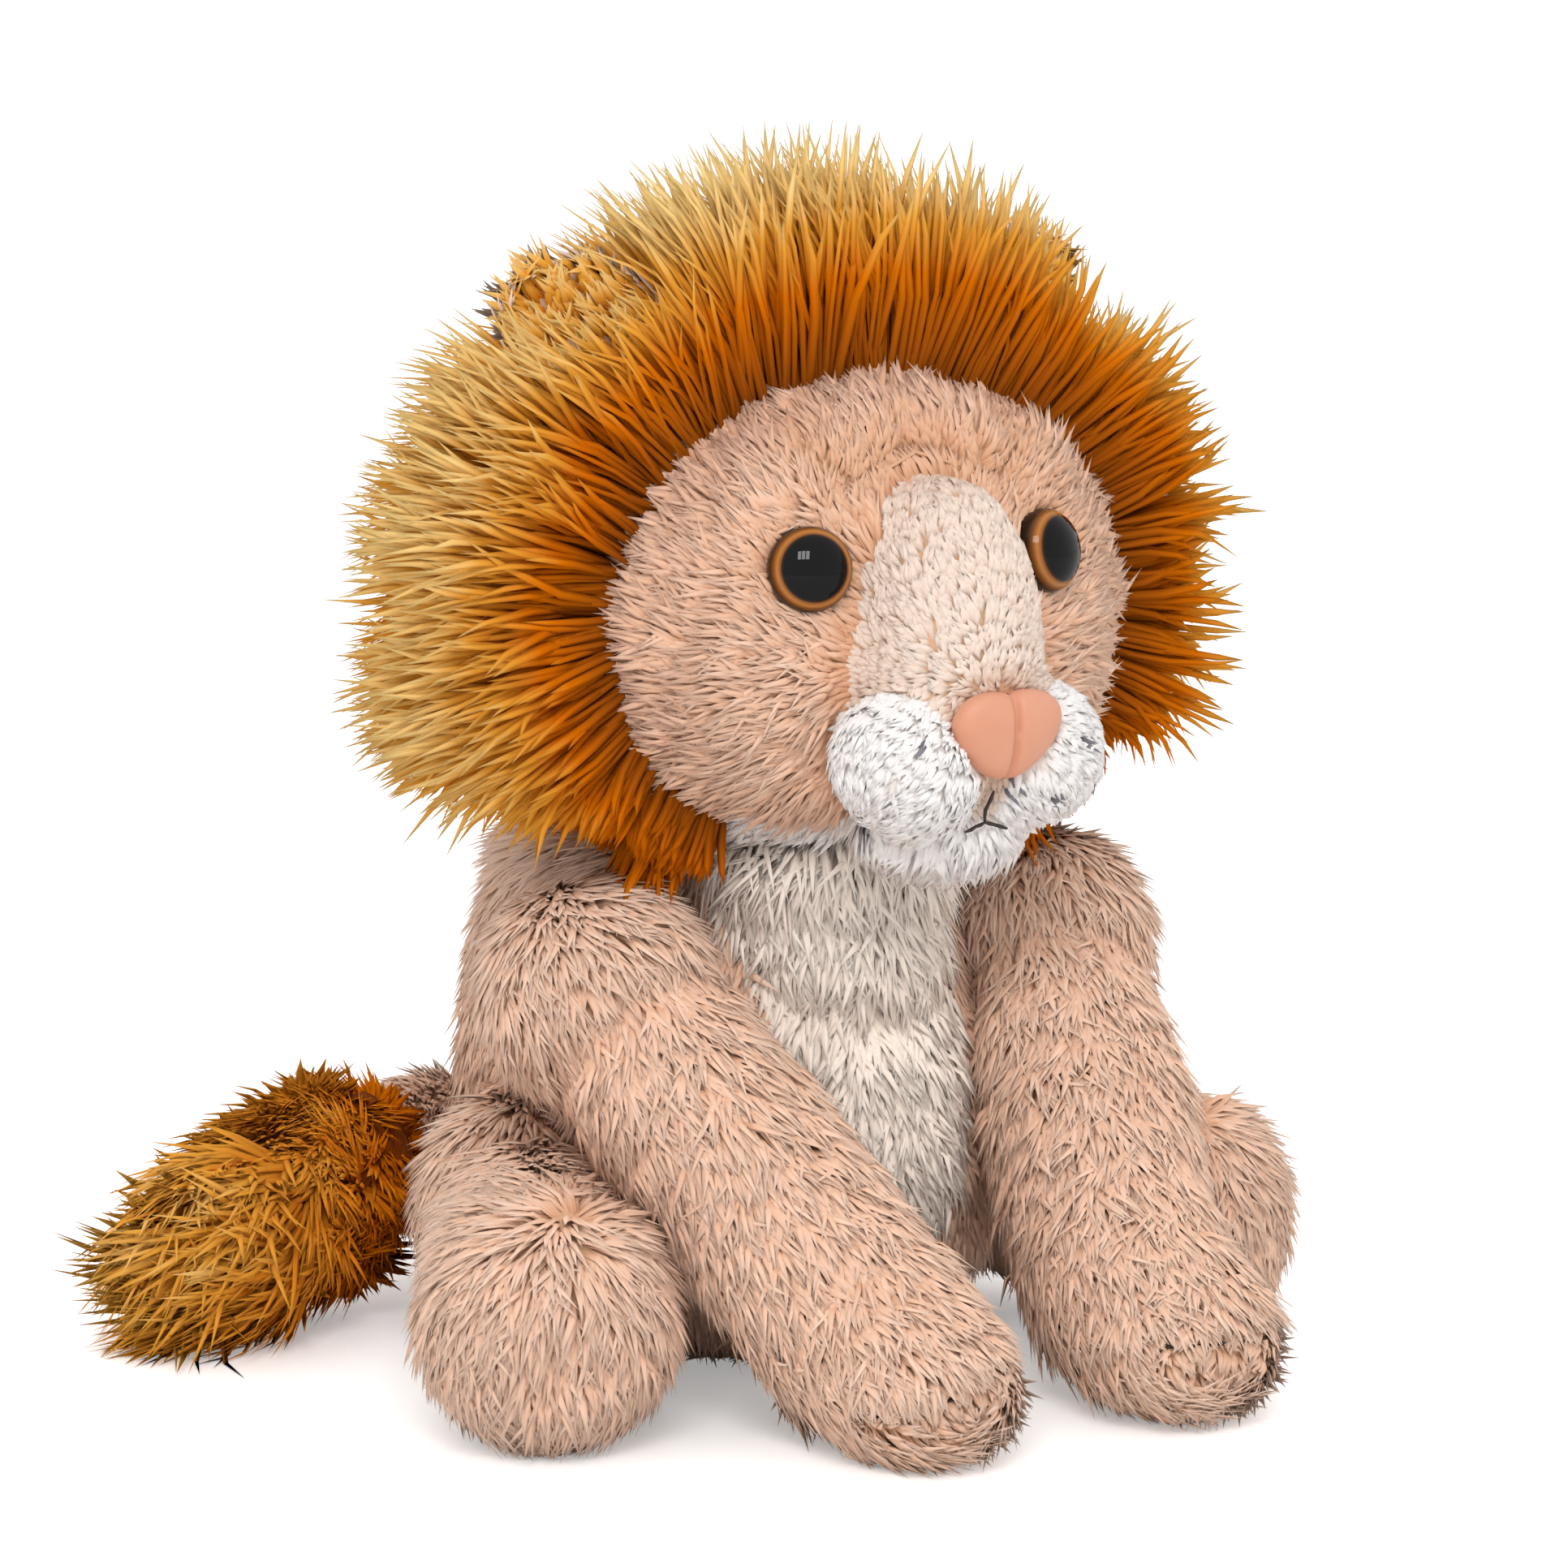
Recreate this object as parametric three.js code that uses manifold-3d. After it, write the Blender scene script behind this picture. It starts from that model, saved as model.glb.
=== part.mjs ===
// A seated plush lion: sewn plush skins over fibre fillings, with moulded eyes and nose held by washers.
// Millimetres, +Z up. The lion faces -Y, its right side is -X, and the origin is on the flat seat.
import * as THREE from "three";
import { mergeVertices } from "three/addons/utils/BufferGeometryUtils.js";
import Module from "manifold-3d";

const wasm = await Module();
wasm.setup();

// Clearances and cloth.
const gap = 0.3; // between pieces that touch in the real toy
const overrun = 6; // how far a cutting shape runs past what it cuts
const clothThickness = 3; // backing and dense pile of the short plush
const flatDepth = 0.5; // how deep the seat and the feet are pressed flat

// Body, a pear that stands on its flat base.
const baseHalfWidth = 32;
const baseHalfDepth = 42;
const bellyHalfWidth = 37.5;
const bellyHalfDepth = 48;
const bellyHeight = 27;
const chestHalfWidth = 34;
const chestHalfDepth = 42;
const chestHeight = 58;
const bodyTopHeight = 77;
const bodyCentreY = 4;
const chestCentreY = 6;
const bibHalfWidth = 15;
const bibBottomHeight = 24;

// Neck, a ball joint of fibre between body and head.
const neckY = -20;
const neckSink = 1; // how far the ball's centre lies under the body's top
const neckRadius = 18;
const neckPlugRadius = 14;
const neckCapHalfAngle = THREE.MathUtils.degToRad(56);
const neckRimHalfAngle = THREE.MathUtils.degToRad(68);
const neckClearance = 1; // the head's hollow round the neck, so that it turns freely
const headUndersideRadius = 31;
const headUndersideRise = 1.2;
const maneHemRise = 2;
const maneHemSlope = 0.2;

// Head, a wide egg, with the snout, muzzle pads and chin sewn on its front.
const headHalfWidth = 46;
const headHalfDepth = 30;
const headHalfHeight = 36.5;
const headBack = -4; // from the neck's centre
const headRise = 34.6; // above the neck's centre
const snoutHalfWidth = 14;
const snoutHalfDepth = 16;
const snoutHalfHeight = 25;
const snoutForward = 29.5; // from the head's centre, as for each piece of the face
const snoutDrop = 3.1;
const padRadius = 11;
const padHalfDepth = 11;
const padSpacing = 20;
const padForward = 35.8;
const padDrop = 17.6;
const chinHalfWidth = 14;
const chinHalfDepth = 10;
const chinHalfHeight = 7.5;
const chinForward = 29;
const chinDrop = 28.1;

// Nose, moulded vinyl on a post.
const noseWidth = 17;
const noseHeight = 13;
const noseThickness = 2.4;
const noseEdgeRadius = 0.9;
const noseGrooveRadius = 0.6;
const noseClearance = 0.5;
const noseForward = 47.5;
const noseDrop = 13.1;
const nosePostRadius = 1.8;
const nosePostLength = 27;

// Eyes, glossy domes on ribbed posts.
const eyeRadius = 6;
const eyeDomeHeight = 4.2;
const eyeRimThickness = 1;
const eyeSpacing = 40;
const eyeRise = 9.1;
const eyeSeatDepth = 0.55;
const eyeOutwardTurn = THREE.MathUtils.degToRad(20);
const eyeUpwardTurn = THREE.MathUtils.degToRad(10);
const eyePostRadius = 1.6;
const eyePostLength = 11;
const eyePostRibs = 3;
const eyePostRibDepth = 0.35;
const eyeArcSteps = 6;
const washerRadius = 5;
const washerThickness = 1.4;
const washerSetback = 1; // from the middle of the cloth's inner face, which curves away from the washer's rim
const postClearance = 0.25;

// Mane, a hood of long pile round the face and over the back of the head.
const maneForward = 8;
const maneRootRadius = 36;
const maneFrontRadius = 49;
const maneFrontLength = 10;
const maneRootShare = 0.33; // of the front length, where the pile starts at the face's seam
const maneRadius = 64;
const maneRadiusLength = 12;
const maneBackRadius = 47;
const maneBackLength = 39;
const maneDomeLength = 48;
const maneWidthShare = 1.04; // the hood is a little wider than it is high
const faceOpeningHalfAngle = THREE.MathUtils.degToRad(44);
const faceOpeningDepth = 14;

// Ears, each two layers of plush, folded about their base line.
const earWidth = 23;
const earLength = 27;
const earBackThickness = 2;
const earLiningThickness = 1.6;
const earEdgeRadius = 0.6;
const earBaseX = 27.4;
const earBaseBack = 3;
const earBaseRise = 28;
const earLean = THREE.MathUtils.degToRad(43);
const earTurn = THREE.MathUtils.degToRad(22);
const earFold = THREE.MathUtils.degToRad(20);
const earPocketClearance = 1;

// Front legs, from the shoulder ball to the paw.
const shoulderSpacing = 76;
const shoulderY = -22;
const shoulderZ = 58;
const shoulderRadius = 16.5;
const foreshankRadius = 15;
const pawSpacing = 45;
const ankleY = -68;
const ankleZ = 16;
const pawToeY = -92;
const pawToeZ = 9;
const pawHalfWidth = 15;
const pawHalfHeight = 10.5;
const legSwingForward = THREE.MathUtils.degToRad(25);

// Hind legs, from the hip ball to the round foot. The right foot reaches further forward.
const hipSpacing = 68;
const hipY = 4;
const hipZ = 22;
const hipRadius = 16.5;
const hindshankRadius = 14.5;
const footRadius = 18;
const rightFootX = 59;
const rightFootY = -43;
const leftFootX = 54;
const leftFootY = -33;
const footLength = 17;
const legSplayOut = THREE.MathUtils.degToRad(20);

// Tail, a plush tube that curls to the right, and its tuft.
const tailRootY = 47;
const tailRootZ = 14;
const tailRootRadius = 8;
const tailRadius = 5.5;
const tailClothThickness = 2;
const tailBendX = 18;
const tailBendY = 60;
const tailBendZ = 24;
const tailEndX = 41;
const tailEndY = 43;
const tailEndZ = 22;
const tuftLength = 44;
const tuftReachY = 16;
const tuftTipZ = 9;
const tuftHalfHeight = 15;
const tuftHalfWidth = 13;
const tuftSleeve = 9;
const tuftClearance = 0.6; // round the tail, so that the tuft bends freely
const tailSwingIn = THREE.MathUtils.degToRad(3);
const tailSwingOut = THREE.MathUtils.degToRad(35);
const tuftBend = THREE.MathUtils.degToRad(20);

// Pellet bag in the seat.
const pelletHalfWidth = 13;
const pelletHalfDepth = 24;
const pelletHalfHeight = 9;

// Facets.
const formRings = 10;
const formSides = 14;
const thinSides = 8;
const ballSides = 14;
const ballRings = 10;
const outlineSteps = 5;
const earSteps = 14;
const pocketSteps = 4;
const facetTolerance = 0.05;
const mergeDistance = 1e-4;

const plushTan = new THREE.MeshStandardMaterial({ color: 0xd8b497, roughness: 0.95, metalness: 0 });
const napPale = new THREE.MeshStandardMaterial({ color: 0xe3cdbd, roughness: 0.9, metalness: 0 });
const plushWhite = new THREE.MeshStandardMaterial({ color: 0xf0eeee, roughness: 0.95, metalness: 0 });
const bibWhite = new THREE.MeshStandardMaterial({ color: 0xd9d4cd, roughness: 0.95, metalness: 0 });
const longPile = new THREE.MeshStandardMaterial({ color: 0xc8720f, roughness: 0.8, metalness: 0 });
const noseVinyl = new THREE.MeshStandardMaterial({ color: 0xe8906f, roughness: 0.5, metalness: 0 });
const eyeAcrylic = new THREE.MeshStandardMaterial({ color: 0x1a0f08, roughness: 0.08, metalness: 0 });
const washerPlastic = new THREE.MeshStandardMaterial({ color: 0xe9e9e4, roughness: 0.5, metalness: 0 });
const fibre = new THREE.MeshStandardMaterial({ color: 0xf6f5f0, roughness: 1, metalness: 0 });
const pelletCloth = new THREE.MeshStandardMaterial({ color: 0xcfcabd, roughness: 0.9, metalness: 0 });

// A closed geometry as a solid, and a solid as a geometry.
function solidOf(geometry) {
  const bare = geometry.clone();
  bare.deleteAttribute("normal");
  bare.deleteAttribute("uv");
  const merged = mergeVertices(bare, mergeDistance);
  return new wasm.Manifold(
    new wasm.Mesh({
      numProp: 3,
      vertProperties: merged.attributes.position.array,
      triVerts: new Uint32Array(merged.index.array),
    }),
  );
}

function geometryOf(solid) {
  const mesh = solid.asOriginal().simplify(facetTolerance).getMesh();
  const geometry = new THREE.BufferGeometry();
  geometry.setAttribute("position", new THREE.BufferAttribute(mesh.vertProperties, mesh.numProp));
  geometry.setIndex(new THREE.BufferAttribute(mesh.triVerts, 1));
  geometry.computeVertexNormals();
  return geometry;
}

// The largest body of a solid, so that a cut leaves no crumb behind.
function mainBody(solid) {
  const bodies = solid.decompose();
  return bodies.reduce((most, body) => (body.volume() > most.volume() ? body : most));
}

function egg(halfWidth, halfDepth, halfHeight, centre) {
  const ball = new THREE.SphereGeometry(1, ballSides, ballRings);
  ball.rotateX(Math.PI / 2);
  ball.scale(halfWidth, halfDepth, halfHeight);
  ball.translate(centre.x, centre.y, centre.z);
  return solidOf(ball);
}

// A stuffed form: rings of ellipses along a curve, which swell and taper, with both ends closed round.
// The inset draws the whole surface in, as the inside of its cloth.
function stuffedForm({ spine, halfWidths, halfHeights, side, endPower, sides = formSides, inset = 0 }) {
  const rings = formRings;
  const curve = new THREE.CatmullRomCurve3(spine);
  const girth = new THREE.CatmullRomCurve3(
    halfWidths.map((halfWidth, i) => new THREE.Vector3(halfWidth, halfHeights[i], 0)),
  );
  const trim = Math.max(0, inset) / curve.getLength();
  const positions = [];
  const point = new THREE.Vector3();
  for (let ring = 0; ring <= rings; ring++) {
    const along = (1 - Math.cos((Math.PI * ring) / rings)) / 2;
    const place = trim + (1 - 2 * trim) * along;
    const centre = curve.getPoint(place);
    const tangent = curve.getTangent(place);
    const up = new THREE.Vector3().crossVectors(tangent, side).normalize();
    const across = new THREE.Vector3().crossVectors(up, tangent);
    const size = girth.getPoint(place);
    const close = Math.pow(Math.max(0, 1 - Math.pow(Math.abs(2 * along - 1), endPower)), 1 / endPower);
    for (let turn = 0; turn < sides; turn++) {
      const angle = (2 * Math.PI * turn) / sides;
      point.copy(centre);
      point.addScaledVector(across, close * (size.x - inset) * Math.cos(angle));
      point.addScaledVector(up, close * (size.y - inset) * Math.sin(angle));
      positions.push(point.x, point.y, point.z);
    }
  }
  return solidOf(ringedGeometry(positions, rings, sides));
}

// Joins rings of points to a closed surface. The first and last ring have shrunk to a point.
function ringedGeometry(positions, rings, sides) {
  const faces = [];
  for (let ring = 0; ring < rings; ring++) {
    for (let turn = 0; turn < sides; turn++) {
      const next = (turn + 1) % sides;
      const a = ring * sides + turn;
      const b = ring * sides + next;
      const c = (ring + 1) * sides + next;
      const d = (ring + 1) * sides + turn;
      if (ring > 0) faces.push(a, b, c);
      if (ring < rings - 1) faces.push(a, c, d);
    }
  }
  const geometry = new THREE.BufferGeometry();
  geometry.setAttribute("position", new THREE.Float32BufferAttribute(positions, 3));
  geometry.setIndex(faces);
  return geometry;
}

function place(x, y, z) {
  return new THREE.Vector3(x, y, z);
}

// A solid turned about an axis through a pivot.
function turned(solid, pivot, axis, angle) {
  const matrix = new THREE.Matrix4().makeTranslation(pivot.x, pivot.y, pivot.z);
  matrix.multiply(new THREE.Matrix4().makeRotationAxis(axis, angle));
  matrix.multiply(new THREE.Matrix4().makeTranslation(-pivot.x, -pivot.y, -pivot.z));
  return solid.transform(matrix.elements);
}

// What is left of a moving piece where it would meet its neighbour at any of the angles it turns to.
function clearOf(piece, neighbour, hinge) {
  let left = piece;
  for (const angle of hinge.angles) left = left.subtract(turned(neighbour, hinge.pivot, hinge.axis, -angle));
  return left;
}

// A solid of revolution from a profile of [radius, length] pairs, its length running along a direction.
function spunAlong(profile, base, direction) {
  const spun = new THREE.LatheGeometry(
    profile.map(([radius, length]) => new THREE.Vector2(radius, length)),
    ballSides,
  );
  spun.applyQuaternion(new THREE.Quaternion().setFromUnitVectors(place(0, 1, 0), direction));
  spun.translate(base.x, base.y, base.z);
  return solidOf(spun);
}

// An outline drawn in X and Z, as a prism from one Y to another.
function prismAlongY(outline, fromY, toY) {
  const prism = new THREE.ExtrudeGeometry(outline, {
    depth: toY - fromY,
    bevelEnabled: false,
    curveSegments: outlineSteps,
  });
  prism.rotateX(Math.PI / 2);
  prism.translate(0, toY, 0);
  return solidOf(prism);
}

function block(lowX, lowY, lowZ, highX, highY, highZ) {
  const box = new THREE.BoxGeometry(highX - lowX, highY - lowY, highZ - lowZ);
  box.translate((lowX + highX) / 2, (lowY + highY) / 2, (lowZ + highZ) / 2);
  return solidOf(box);
}

// Places that follow from the sizes.
const neckZ = bodyTopHeight - neckSink;
const headY = neckY + headBack;
const headZ = neckZ + headRise;
const noseFrontY = headY - noseForward;
const noseZ = headZ - noseDrop;
const earBaseY = headY + earBaseBack;
const earBaseZ = headZ + earBaseRise;
const reach = 2 * (headZ + maneRadius);
const xAxis = place(1, 0, 0);
const zAxis = place(0, 0, 1);
const belowFloor = block(-reach, -reach, -reach, reach, reach, 0);

// Body.
const neck = place(0, neckY, neckZ);
const bodyTopShare = 0.84;
const bodyEndPower = 5;

function bodyPear(inset) {
  return stuffedForm({
    spine: [
      place(0, bodyCentreY, -flatDepth),
      place(0, bodyCentreY, bellyHeight),
      place(0, chestCentreY, chestHeight),
      place(0, chestCentreY, bodyTopHeight),
    ],
    halfWidths: [baseHalfWidth, bellyHalfWidth, chestHalfWidth, chestHalfWidth * bodyTopShare],
    halfHeights: [baseHalfDepth, bellyHalfDepth, chestHalfDepth, chestHalfDepth * bodyTopShare],
    side: xAxis,
    endPower: bodyEndPower,
    inset,
  });
}

function bodyForm(inset) {
  return bodyPear(inset).add(ballAt(neck, neckRadius - inset));
}

function ballAt(centre, radius) {
  return egg(radius, radius, radius, centre);
}

// A cone that opens upwards from a point, out past a radius.
function coneAbove(point, halfAngle, radius) {
  const rim = [radius * Math.sin(halfAngle), radius * Math.cos(halfAngle)];
  return spunAlong([[0, 0], rim, [rim[0], radius], [0, radius]], point, zAxis);
}

// Limb roots. Each is a ball in a socket of the body, and turns there about one axis.
function shoulderAt(side) {
  return {
    pivot: place((side * shoulderSpacing) / 2, shoulderY, shoulderZ),
    radius: shoulderRadius,
    axis: place(-1, 0, 0),
    angles: [0, legSwingForward / 2, legSwingForward],
  };
}

function hipAt(side) {
  return {
    pivot: place((side * hipSpacing) / 2, hipY, hipZ),
    radius: hipRadius,
    axis: place(0, 0, side),
    angles: [0, legSplayOut / 2, legSplayOut],
  };
}

const tailRoot = {
  pivot: place(0, tailRootY, tailRootZ),
  radius: tailRootRadius,
  axis: place(0, 0, -1),
  angles: [-tailSwingIn, 0, tailSwingOut / 2, tailSwingOut],
};

const limbRoots = [shoulderAt(-1), shoulderAt(1), hipAt(-1), hipAt(1), tailRoot];

function withoutSockets(solid) {
  return limbRoots.reduce((left, root) => left.subtract(ballAt(root.pivot, root.radius + gap)), solid);
}

// The bib's outline, seen from the front: widest at the throat, drawn in between the front legs.
const bibThroatShare = 1.35;
const bibTipShare = 0.35;

function bibPrism(margin) {
  const top = neckZ + neckRadius + overrun;
  const outline = new THREE.Shape();
  outline.moveTo(-bibHalfWidth * bibTipShare - margin, bibBottomHeight - margin);
  outline.quadraticCurveTo(-bibHalfWidth - margin, bellyHeight, -bibHalfWidth - margin, chestHeight);
  outline.lineTo(-bibHalfWidth * bibThroatShare - margin, top);
  outline.lineTo(bibHalfWidth * bibThroatShare + margin, top);
  outline.lineTo(bibHalfWidth + margin, chestHeight);
  outline.quadraticCurveTo(
    bibHalfWidth + margin,
    bellyHeight,
    bibHalfWidth * bibTipShare + margin,
    bibBottomHeight - margin,
  );
  return prismAlongY(outline, -reach, neckY);
}

function bodyCloth() {
  const shell = bodyForm(0).subtract(bodyForm(clothThickness)).subtract(belowFloor);
  const neckOpening = coneAbove(neck, neckRimHalfAngle, neckRadius + overrun);
  return withoutSockets(shell.subtract(neckOpening));
}

function bodySkin() {
  return mainBody(bodyCloth().subtract(bibPrism(gap)));
}

function chestBib() {
  return mainBody(bodyCloth().intersect(bibPrism(0)));
}

const pelletSeatZ = clothThickness - flatDepth + gap;
const pelletSink = 2;

function pelletForm(margin) {
  const centre = place(0, bodyCentreY, pelletSeatZ + pelletHalfHeight - pelletSink);
  return egg(pelletHalfWidth + margin, pelletHalfDepth + margin, pelletHalfHeight + margin, centre);
}

function pelletBag() {
  return mainBody(pelletForm(0).intersect(bodyPear(clothThickness + gap)));
}

function bodyFilling() {
  const fill = bodyPear(clothThickness + gap);
  return mainBody(
    withoutSockets(fill)
      .subtract(ballAt(neck, neckPlugRadius + gap))
      .subtract(pelletForm(gap)),
  );
}

// Neck plug: a ball in the body's neck with a wider cap under the head.
function neckFilling() {
  const cap = ballAt(neck, neckRadius).intersect(coneAbove(neck, neckCapHalfAngle, neckRadius + overrun));
  return ballAt(neck, neckPlugRadius).add(cap);
}

// Head.
const headCentre = place(0, headY, headZ);

// The Y of the head's surface, or of its cloth's inner face, at a place seen from the front.
function faceY(x, rise, inset) {
  const acrossShare = x / (headHalfWidth - inset);
  const riseShare = rise / (headHalfHeight - inset);
  return headY - (headHalfDepth - inset) * Math.sqrt(1 - acrossShare * acrossShare - riseShare * riseShare);
}

function headForm(inset) {
  return egg(headHalfWidth - inset, headHalfDepth - inset, headHalfHeight - inset, headCentre);
}

// What the head stays clear of as it turns and nods on the neck.
function neckHollow() {
  const floor = neck.clone().setZ(0);
  const undersideZ = neckZ + headUndersideRise;
  const underside = spunAlong(
    [[0, 0], [headUndersideRadius, 0], [headUndersideRadius, undersideZ], [0, undersideZ]],
    floor,
    zAxis,
  );
  return underside.add(ballAt(neck, neckRadius + neckClearance));
}

// Eyes. Each part is spun about its post, which points out of the head.
function eyeDirection(side) {
  return place(
    side * Math.sin(eyeOutwardTurn) * Math.cos(eyeUpwardTurn),
    -Math.cos(eyeOutwardTurn) * Math.cos(eyeUpwardTurn),
    Math.sin(eyeUpwardTurn),
  );
}

function onEyeAxis(profile, side) {
  const x = (side * eyeSpacing) / 2;
  const seat = place(x, faceY(x, eyeRise, 0) + eyeSeatDepth, headZ + eyeRise);
  return spunAlong(profile, seat, eyeDirection(side));
}

// A post from its tip to its root, with ribs that lock the washer.
function ribbedPost(radius, length, ribs, ribDepth) {
  const profile = [[0, -length], [radius, -length]];
  const ribbed = length - clothThickness;
  for (let rib = 0; rib < ribs; rib++) {
    const start = -length + (ribbed * rib) / ribs;
    profile.push([radius + ribDepth, start + ribbed / ribs / 2]);
    profile.push([radius, start + ribbed / ribs]);
  }
  return profile;
}

function eyeLens(side) {
  const profile = ribbedPost(eyePostRadius, eyePostLength, eyePostRibs, eyePostRibDepth);
  profile.push([eyePostRadius, 0]);
  profile.push([eyeRadius, 0]);
  for (let step = 0; step <= eyeArcSteps; step++) {
    const angle = (Math.PI / 2) * (step / eyeArcSteps);
    const rise = (eyeDomeHeight - eyeRimThickness) * Math.sin(angle);
    profile.push([step < eyeArcSteps ? eyeRadius * Math.cos(angle) : 0, eyeRimThickness + rise]);
  }
  return onEyeAxis(profile, side);
}

function disc(radius, low, high) {
  return [[0, low], [radius, low], [radius, high], [0, high]];
}

function ring(inner, outer, low, high) {
  return [[inner, low], [outer, low], [outer, high], [inner, high], [inner, low]];
}

// The washer lies behind the cloth, on the post.
const washerFront = -clothThickness - washerSetback;
const washerBack = washerFront - washerThickness;
const eyeBoreRadius = eyePostRadius + eyePostRibDepth + postClearance;
const noseBoreRadius = nosePostRadius + postClearance;

function eyeWasher(side) {
  return onEyeAxis(ring(eyeBoreRadius, washerRadius, washerBack, washerFront), side);
}

// Room for an eye's seat and post in the cloth, and for its post and washer in the filling.
function eyeSeatCut(side) {
  const seat = onEyeAxis(disc(eyeRadius + gap, -gap, eyeDomeHeight + overrun), side);
  return seat.add(onEyeAxis(disc(eyeBoreRadius, -eyePostLength - overrun, 0), side));
}

function eyeFillingCut(side) {
  const post = onEyeAxis(disc(eyeBoreRadius, -eyePostLength - gap, 0), side);
  return post.add(onEyeAxis(disc(washerRadius + gap, washerBack - gap, 0), side));
}

// Nose: a rounded triangle with a dip in its top edge, bent round the snout, with a groove down its middle.
const noseBase = place(0, noseFrontY, noseZ);
const noseShoulderShare = 0.62;
const noseDipShare = 0.16;
const noseTipShare = 0.2;
const noseBendShare = 0.16;
const forward = place(0, -1, 0);

function noseOutline() {
  const half = noseWidth / 2 - noseEdgeRadius;
  const top = noseHeight / 2 - noseEdgeRadius;
  const outline = new THREE.Shape();
  outline.moveTo(0, top - noseHeight * noseDipShare);
  outline.quadraticCurveTo(half * noseShoulderShare, top, half * noseShoulderShare, top);
  outline.quadraticCurveTo(half, top, half, top * noseShoulderShare);
  outline.quadraticCurveTo(half, 0, half * noseTipShare, -top);
  outline.quadraticCurveTo(0, -noseHeight / 2, -half * noseTipShare, -top);
  outline.quadraticCurveTo(-half, 0, -half, top * noseShoulderShare);
  outline.quadraticCurveTo(-half, top, -half * noseShoulderShare, top);
  outline.quadraticCurveTo(-half * noseShoulderShare, top, 0, top - noseHeight * noseDipShare);
  return outline;
}

function nosePlate(margin) {
  const plate = new THREE.ExtrudeGeometry(noseOutline(), {
    depth: noseThickness - 2 * noseEdgeRadius + 2 * margin,
    bevelThickness: noseEdgeRadius,
    bevelSize: noseEdgeRadius + margin,
    bevelSegments: 2,
    curveSegments: outlineSteps,
  });
  plate.rotateX(Math.PI / 2);
  plate.translate(0, noseThickness - noseEdgeRadius + margin, 0);
  const points = plate.attributes.position;
  for (let i = 0; i < points.count; i++) {
    const share = points.getX(i) / (noseWidth / 2);
    points.setY(i, points.getY(i) + noseWidth * noseBendShare * share * share);
  }
  plate.translate(noseBase.x, noseBase.y, noseBase.z);
  return solidOf(plate);
}

function nosePost(radius, length) {
  return spunAlong(disc(radius, -length, -noseThickness / 2), noseBase, forward);
}

function noseSolid() {
  const grooveTop = place(0, noseFrontY - noseGrooveRadius / 2, noseZ - noseHeight / 2);
  const grooveLength = noseHeight - noseHeight * noseDipShare;
  const groove = spunAlong(disc(noseGrooveRadius, -overrun, grooveLength), grooveTop, zAxis);
  return nosePlate(0).subtract(groove).add(nosePost(nosePostRadius, nosePostLength));
}

// The washer of the nose lies behind the cloth of the head.
const noseWasherFront = faceY(0, noseDrop + washerRadius, clothThickness) + washerSetback - noseFrontY;

function noseWasher() {
  return spunAlong(
    ring(noseBoreRadius, washerRadius, -noseWasherFront - washerThickness, -noseWasherFront),
    noseBase,
    forward,
  );
}

function noseFillingCut() {
  return spunAlong(disc(noseBoreRadius, -nosePostLength - gap, 0), noseBase, forward).add(
    spunAlong(disc(washerRadius + gap, -noseWasherFront - washerThickness - gap, 0), noseBase, forward),
  );
}

// Snout, muzzle pads and chin, each a stuffed form cut by the larger ones behind it.
function snoutForm(margin) {
  return egg(
    snoutHalfWidth + margin,
    snoutHalfDepth + margin,
    snoutHalfHeight + margin,
    place(0, headY - snoutForward, headZ - snoutDrop),
  );
}

function padForm(side, margin) {
  return egg(
    padRadius + margin,
    padHalfDepth + margin,
    padRadius + margin,
    place((side * padSpacing) / 2, headY - padForward, headZ - padDrop),
  );
}

// Room for the nose, open to the front.
function noseRoom() {
  const seat = nosePlate(noseClearance);
  const front = seat.translate([0, -noseThickness, 0]);
  return seat.add(front).add(nosePost(noseBoreRadius, nosePostLength + gap));
}

function snoutBridge() {
  return mainBody(snoutForm(0).subtract(headForm(-gap)).subtract(noseRoom()));
}

function muzzlePad(side) {
  const [low, high] = side < 0 ? [-gap / 2, reach] : [-reach, gap / 2];
  const otherSide = block(low, -reach, -reach, high, reach, reach);
  const pad = padForm(side, 0).subtract(headForm(-gap)).subtract(snoutForm(gap));
  return mainBody(pad.subtract(otherSide).subtract(noseRoom()));
}

function chinPanel() {
  const centre = place(0, headY - chinForward, headZ - chinDrop);
  const chin = egg(chinHalfWidth, chinHalfDepth, chinHalfHeight, centre);
  const cut = chin.subtract(headForm(-gap)).subtract(snoutForm(gap));
  return mainBody(cut.subtract(padForm(-1, gap)).subtract(padForm(1, gap)));
}

function headSkin() {
  const shell = headForm(0).subtract(headForm(clothThickness)).subtract(neckHollow());
  return mainBody(
    shell
      .subtract(eyeSeatCut(-1))
      .subtract(eyeSeatCut(1))
      .subtract(nosePost(noseBoreRadius, nosePostLength + overrun)),
  );
}

function headFilling() {
  return mainBody(
    headForm(clothThickness + gap)
      .subtract(neckHollow())
      .subtract(eyeFillingCut(-1))
      .subtract(eyeFillingCut(1))
      .subtract(noseFillingCut()),
  );
}

// Ears. Each is drawn with its base along X, its tip along Z, its front towards -Y, then set on the head.
function earMatrix(side) {
  const matrix = new THREE.Matrix4().makeTranslation(side * earBaseX, earBaseY, earBaseZ);
  matrix.multiply(new THREE.Matrix4().makeRotationZ(side * earTurn));
  matrix.multiply(new THREE.Matrix4().makeRotationY(side * earLean));
  return matrix;
}

function earHinge(side) {
  return {
    pivot: place(side * earBaseX, earBaseY, earBaseZ),
    axis: xAxis.clone().transformDirection(earMatrix(side)),
    angles: [-earFold, 0, earFold],
  };
}

const earBaseHalfAngle = THREE.MathUtils.degToRad(55);
const earCupShare = 0.12;

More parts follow.
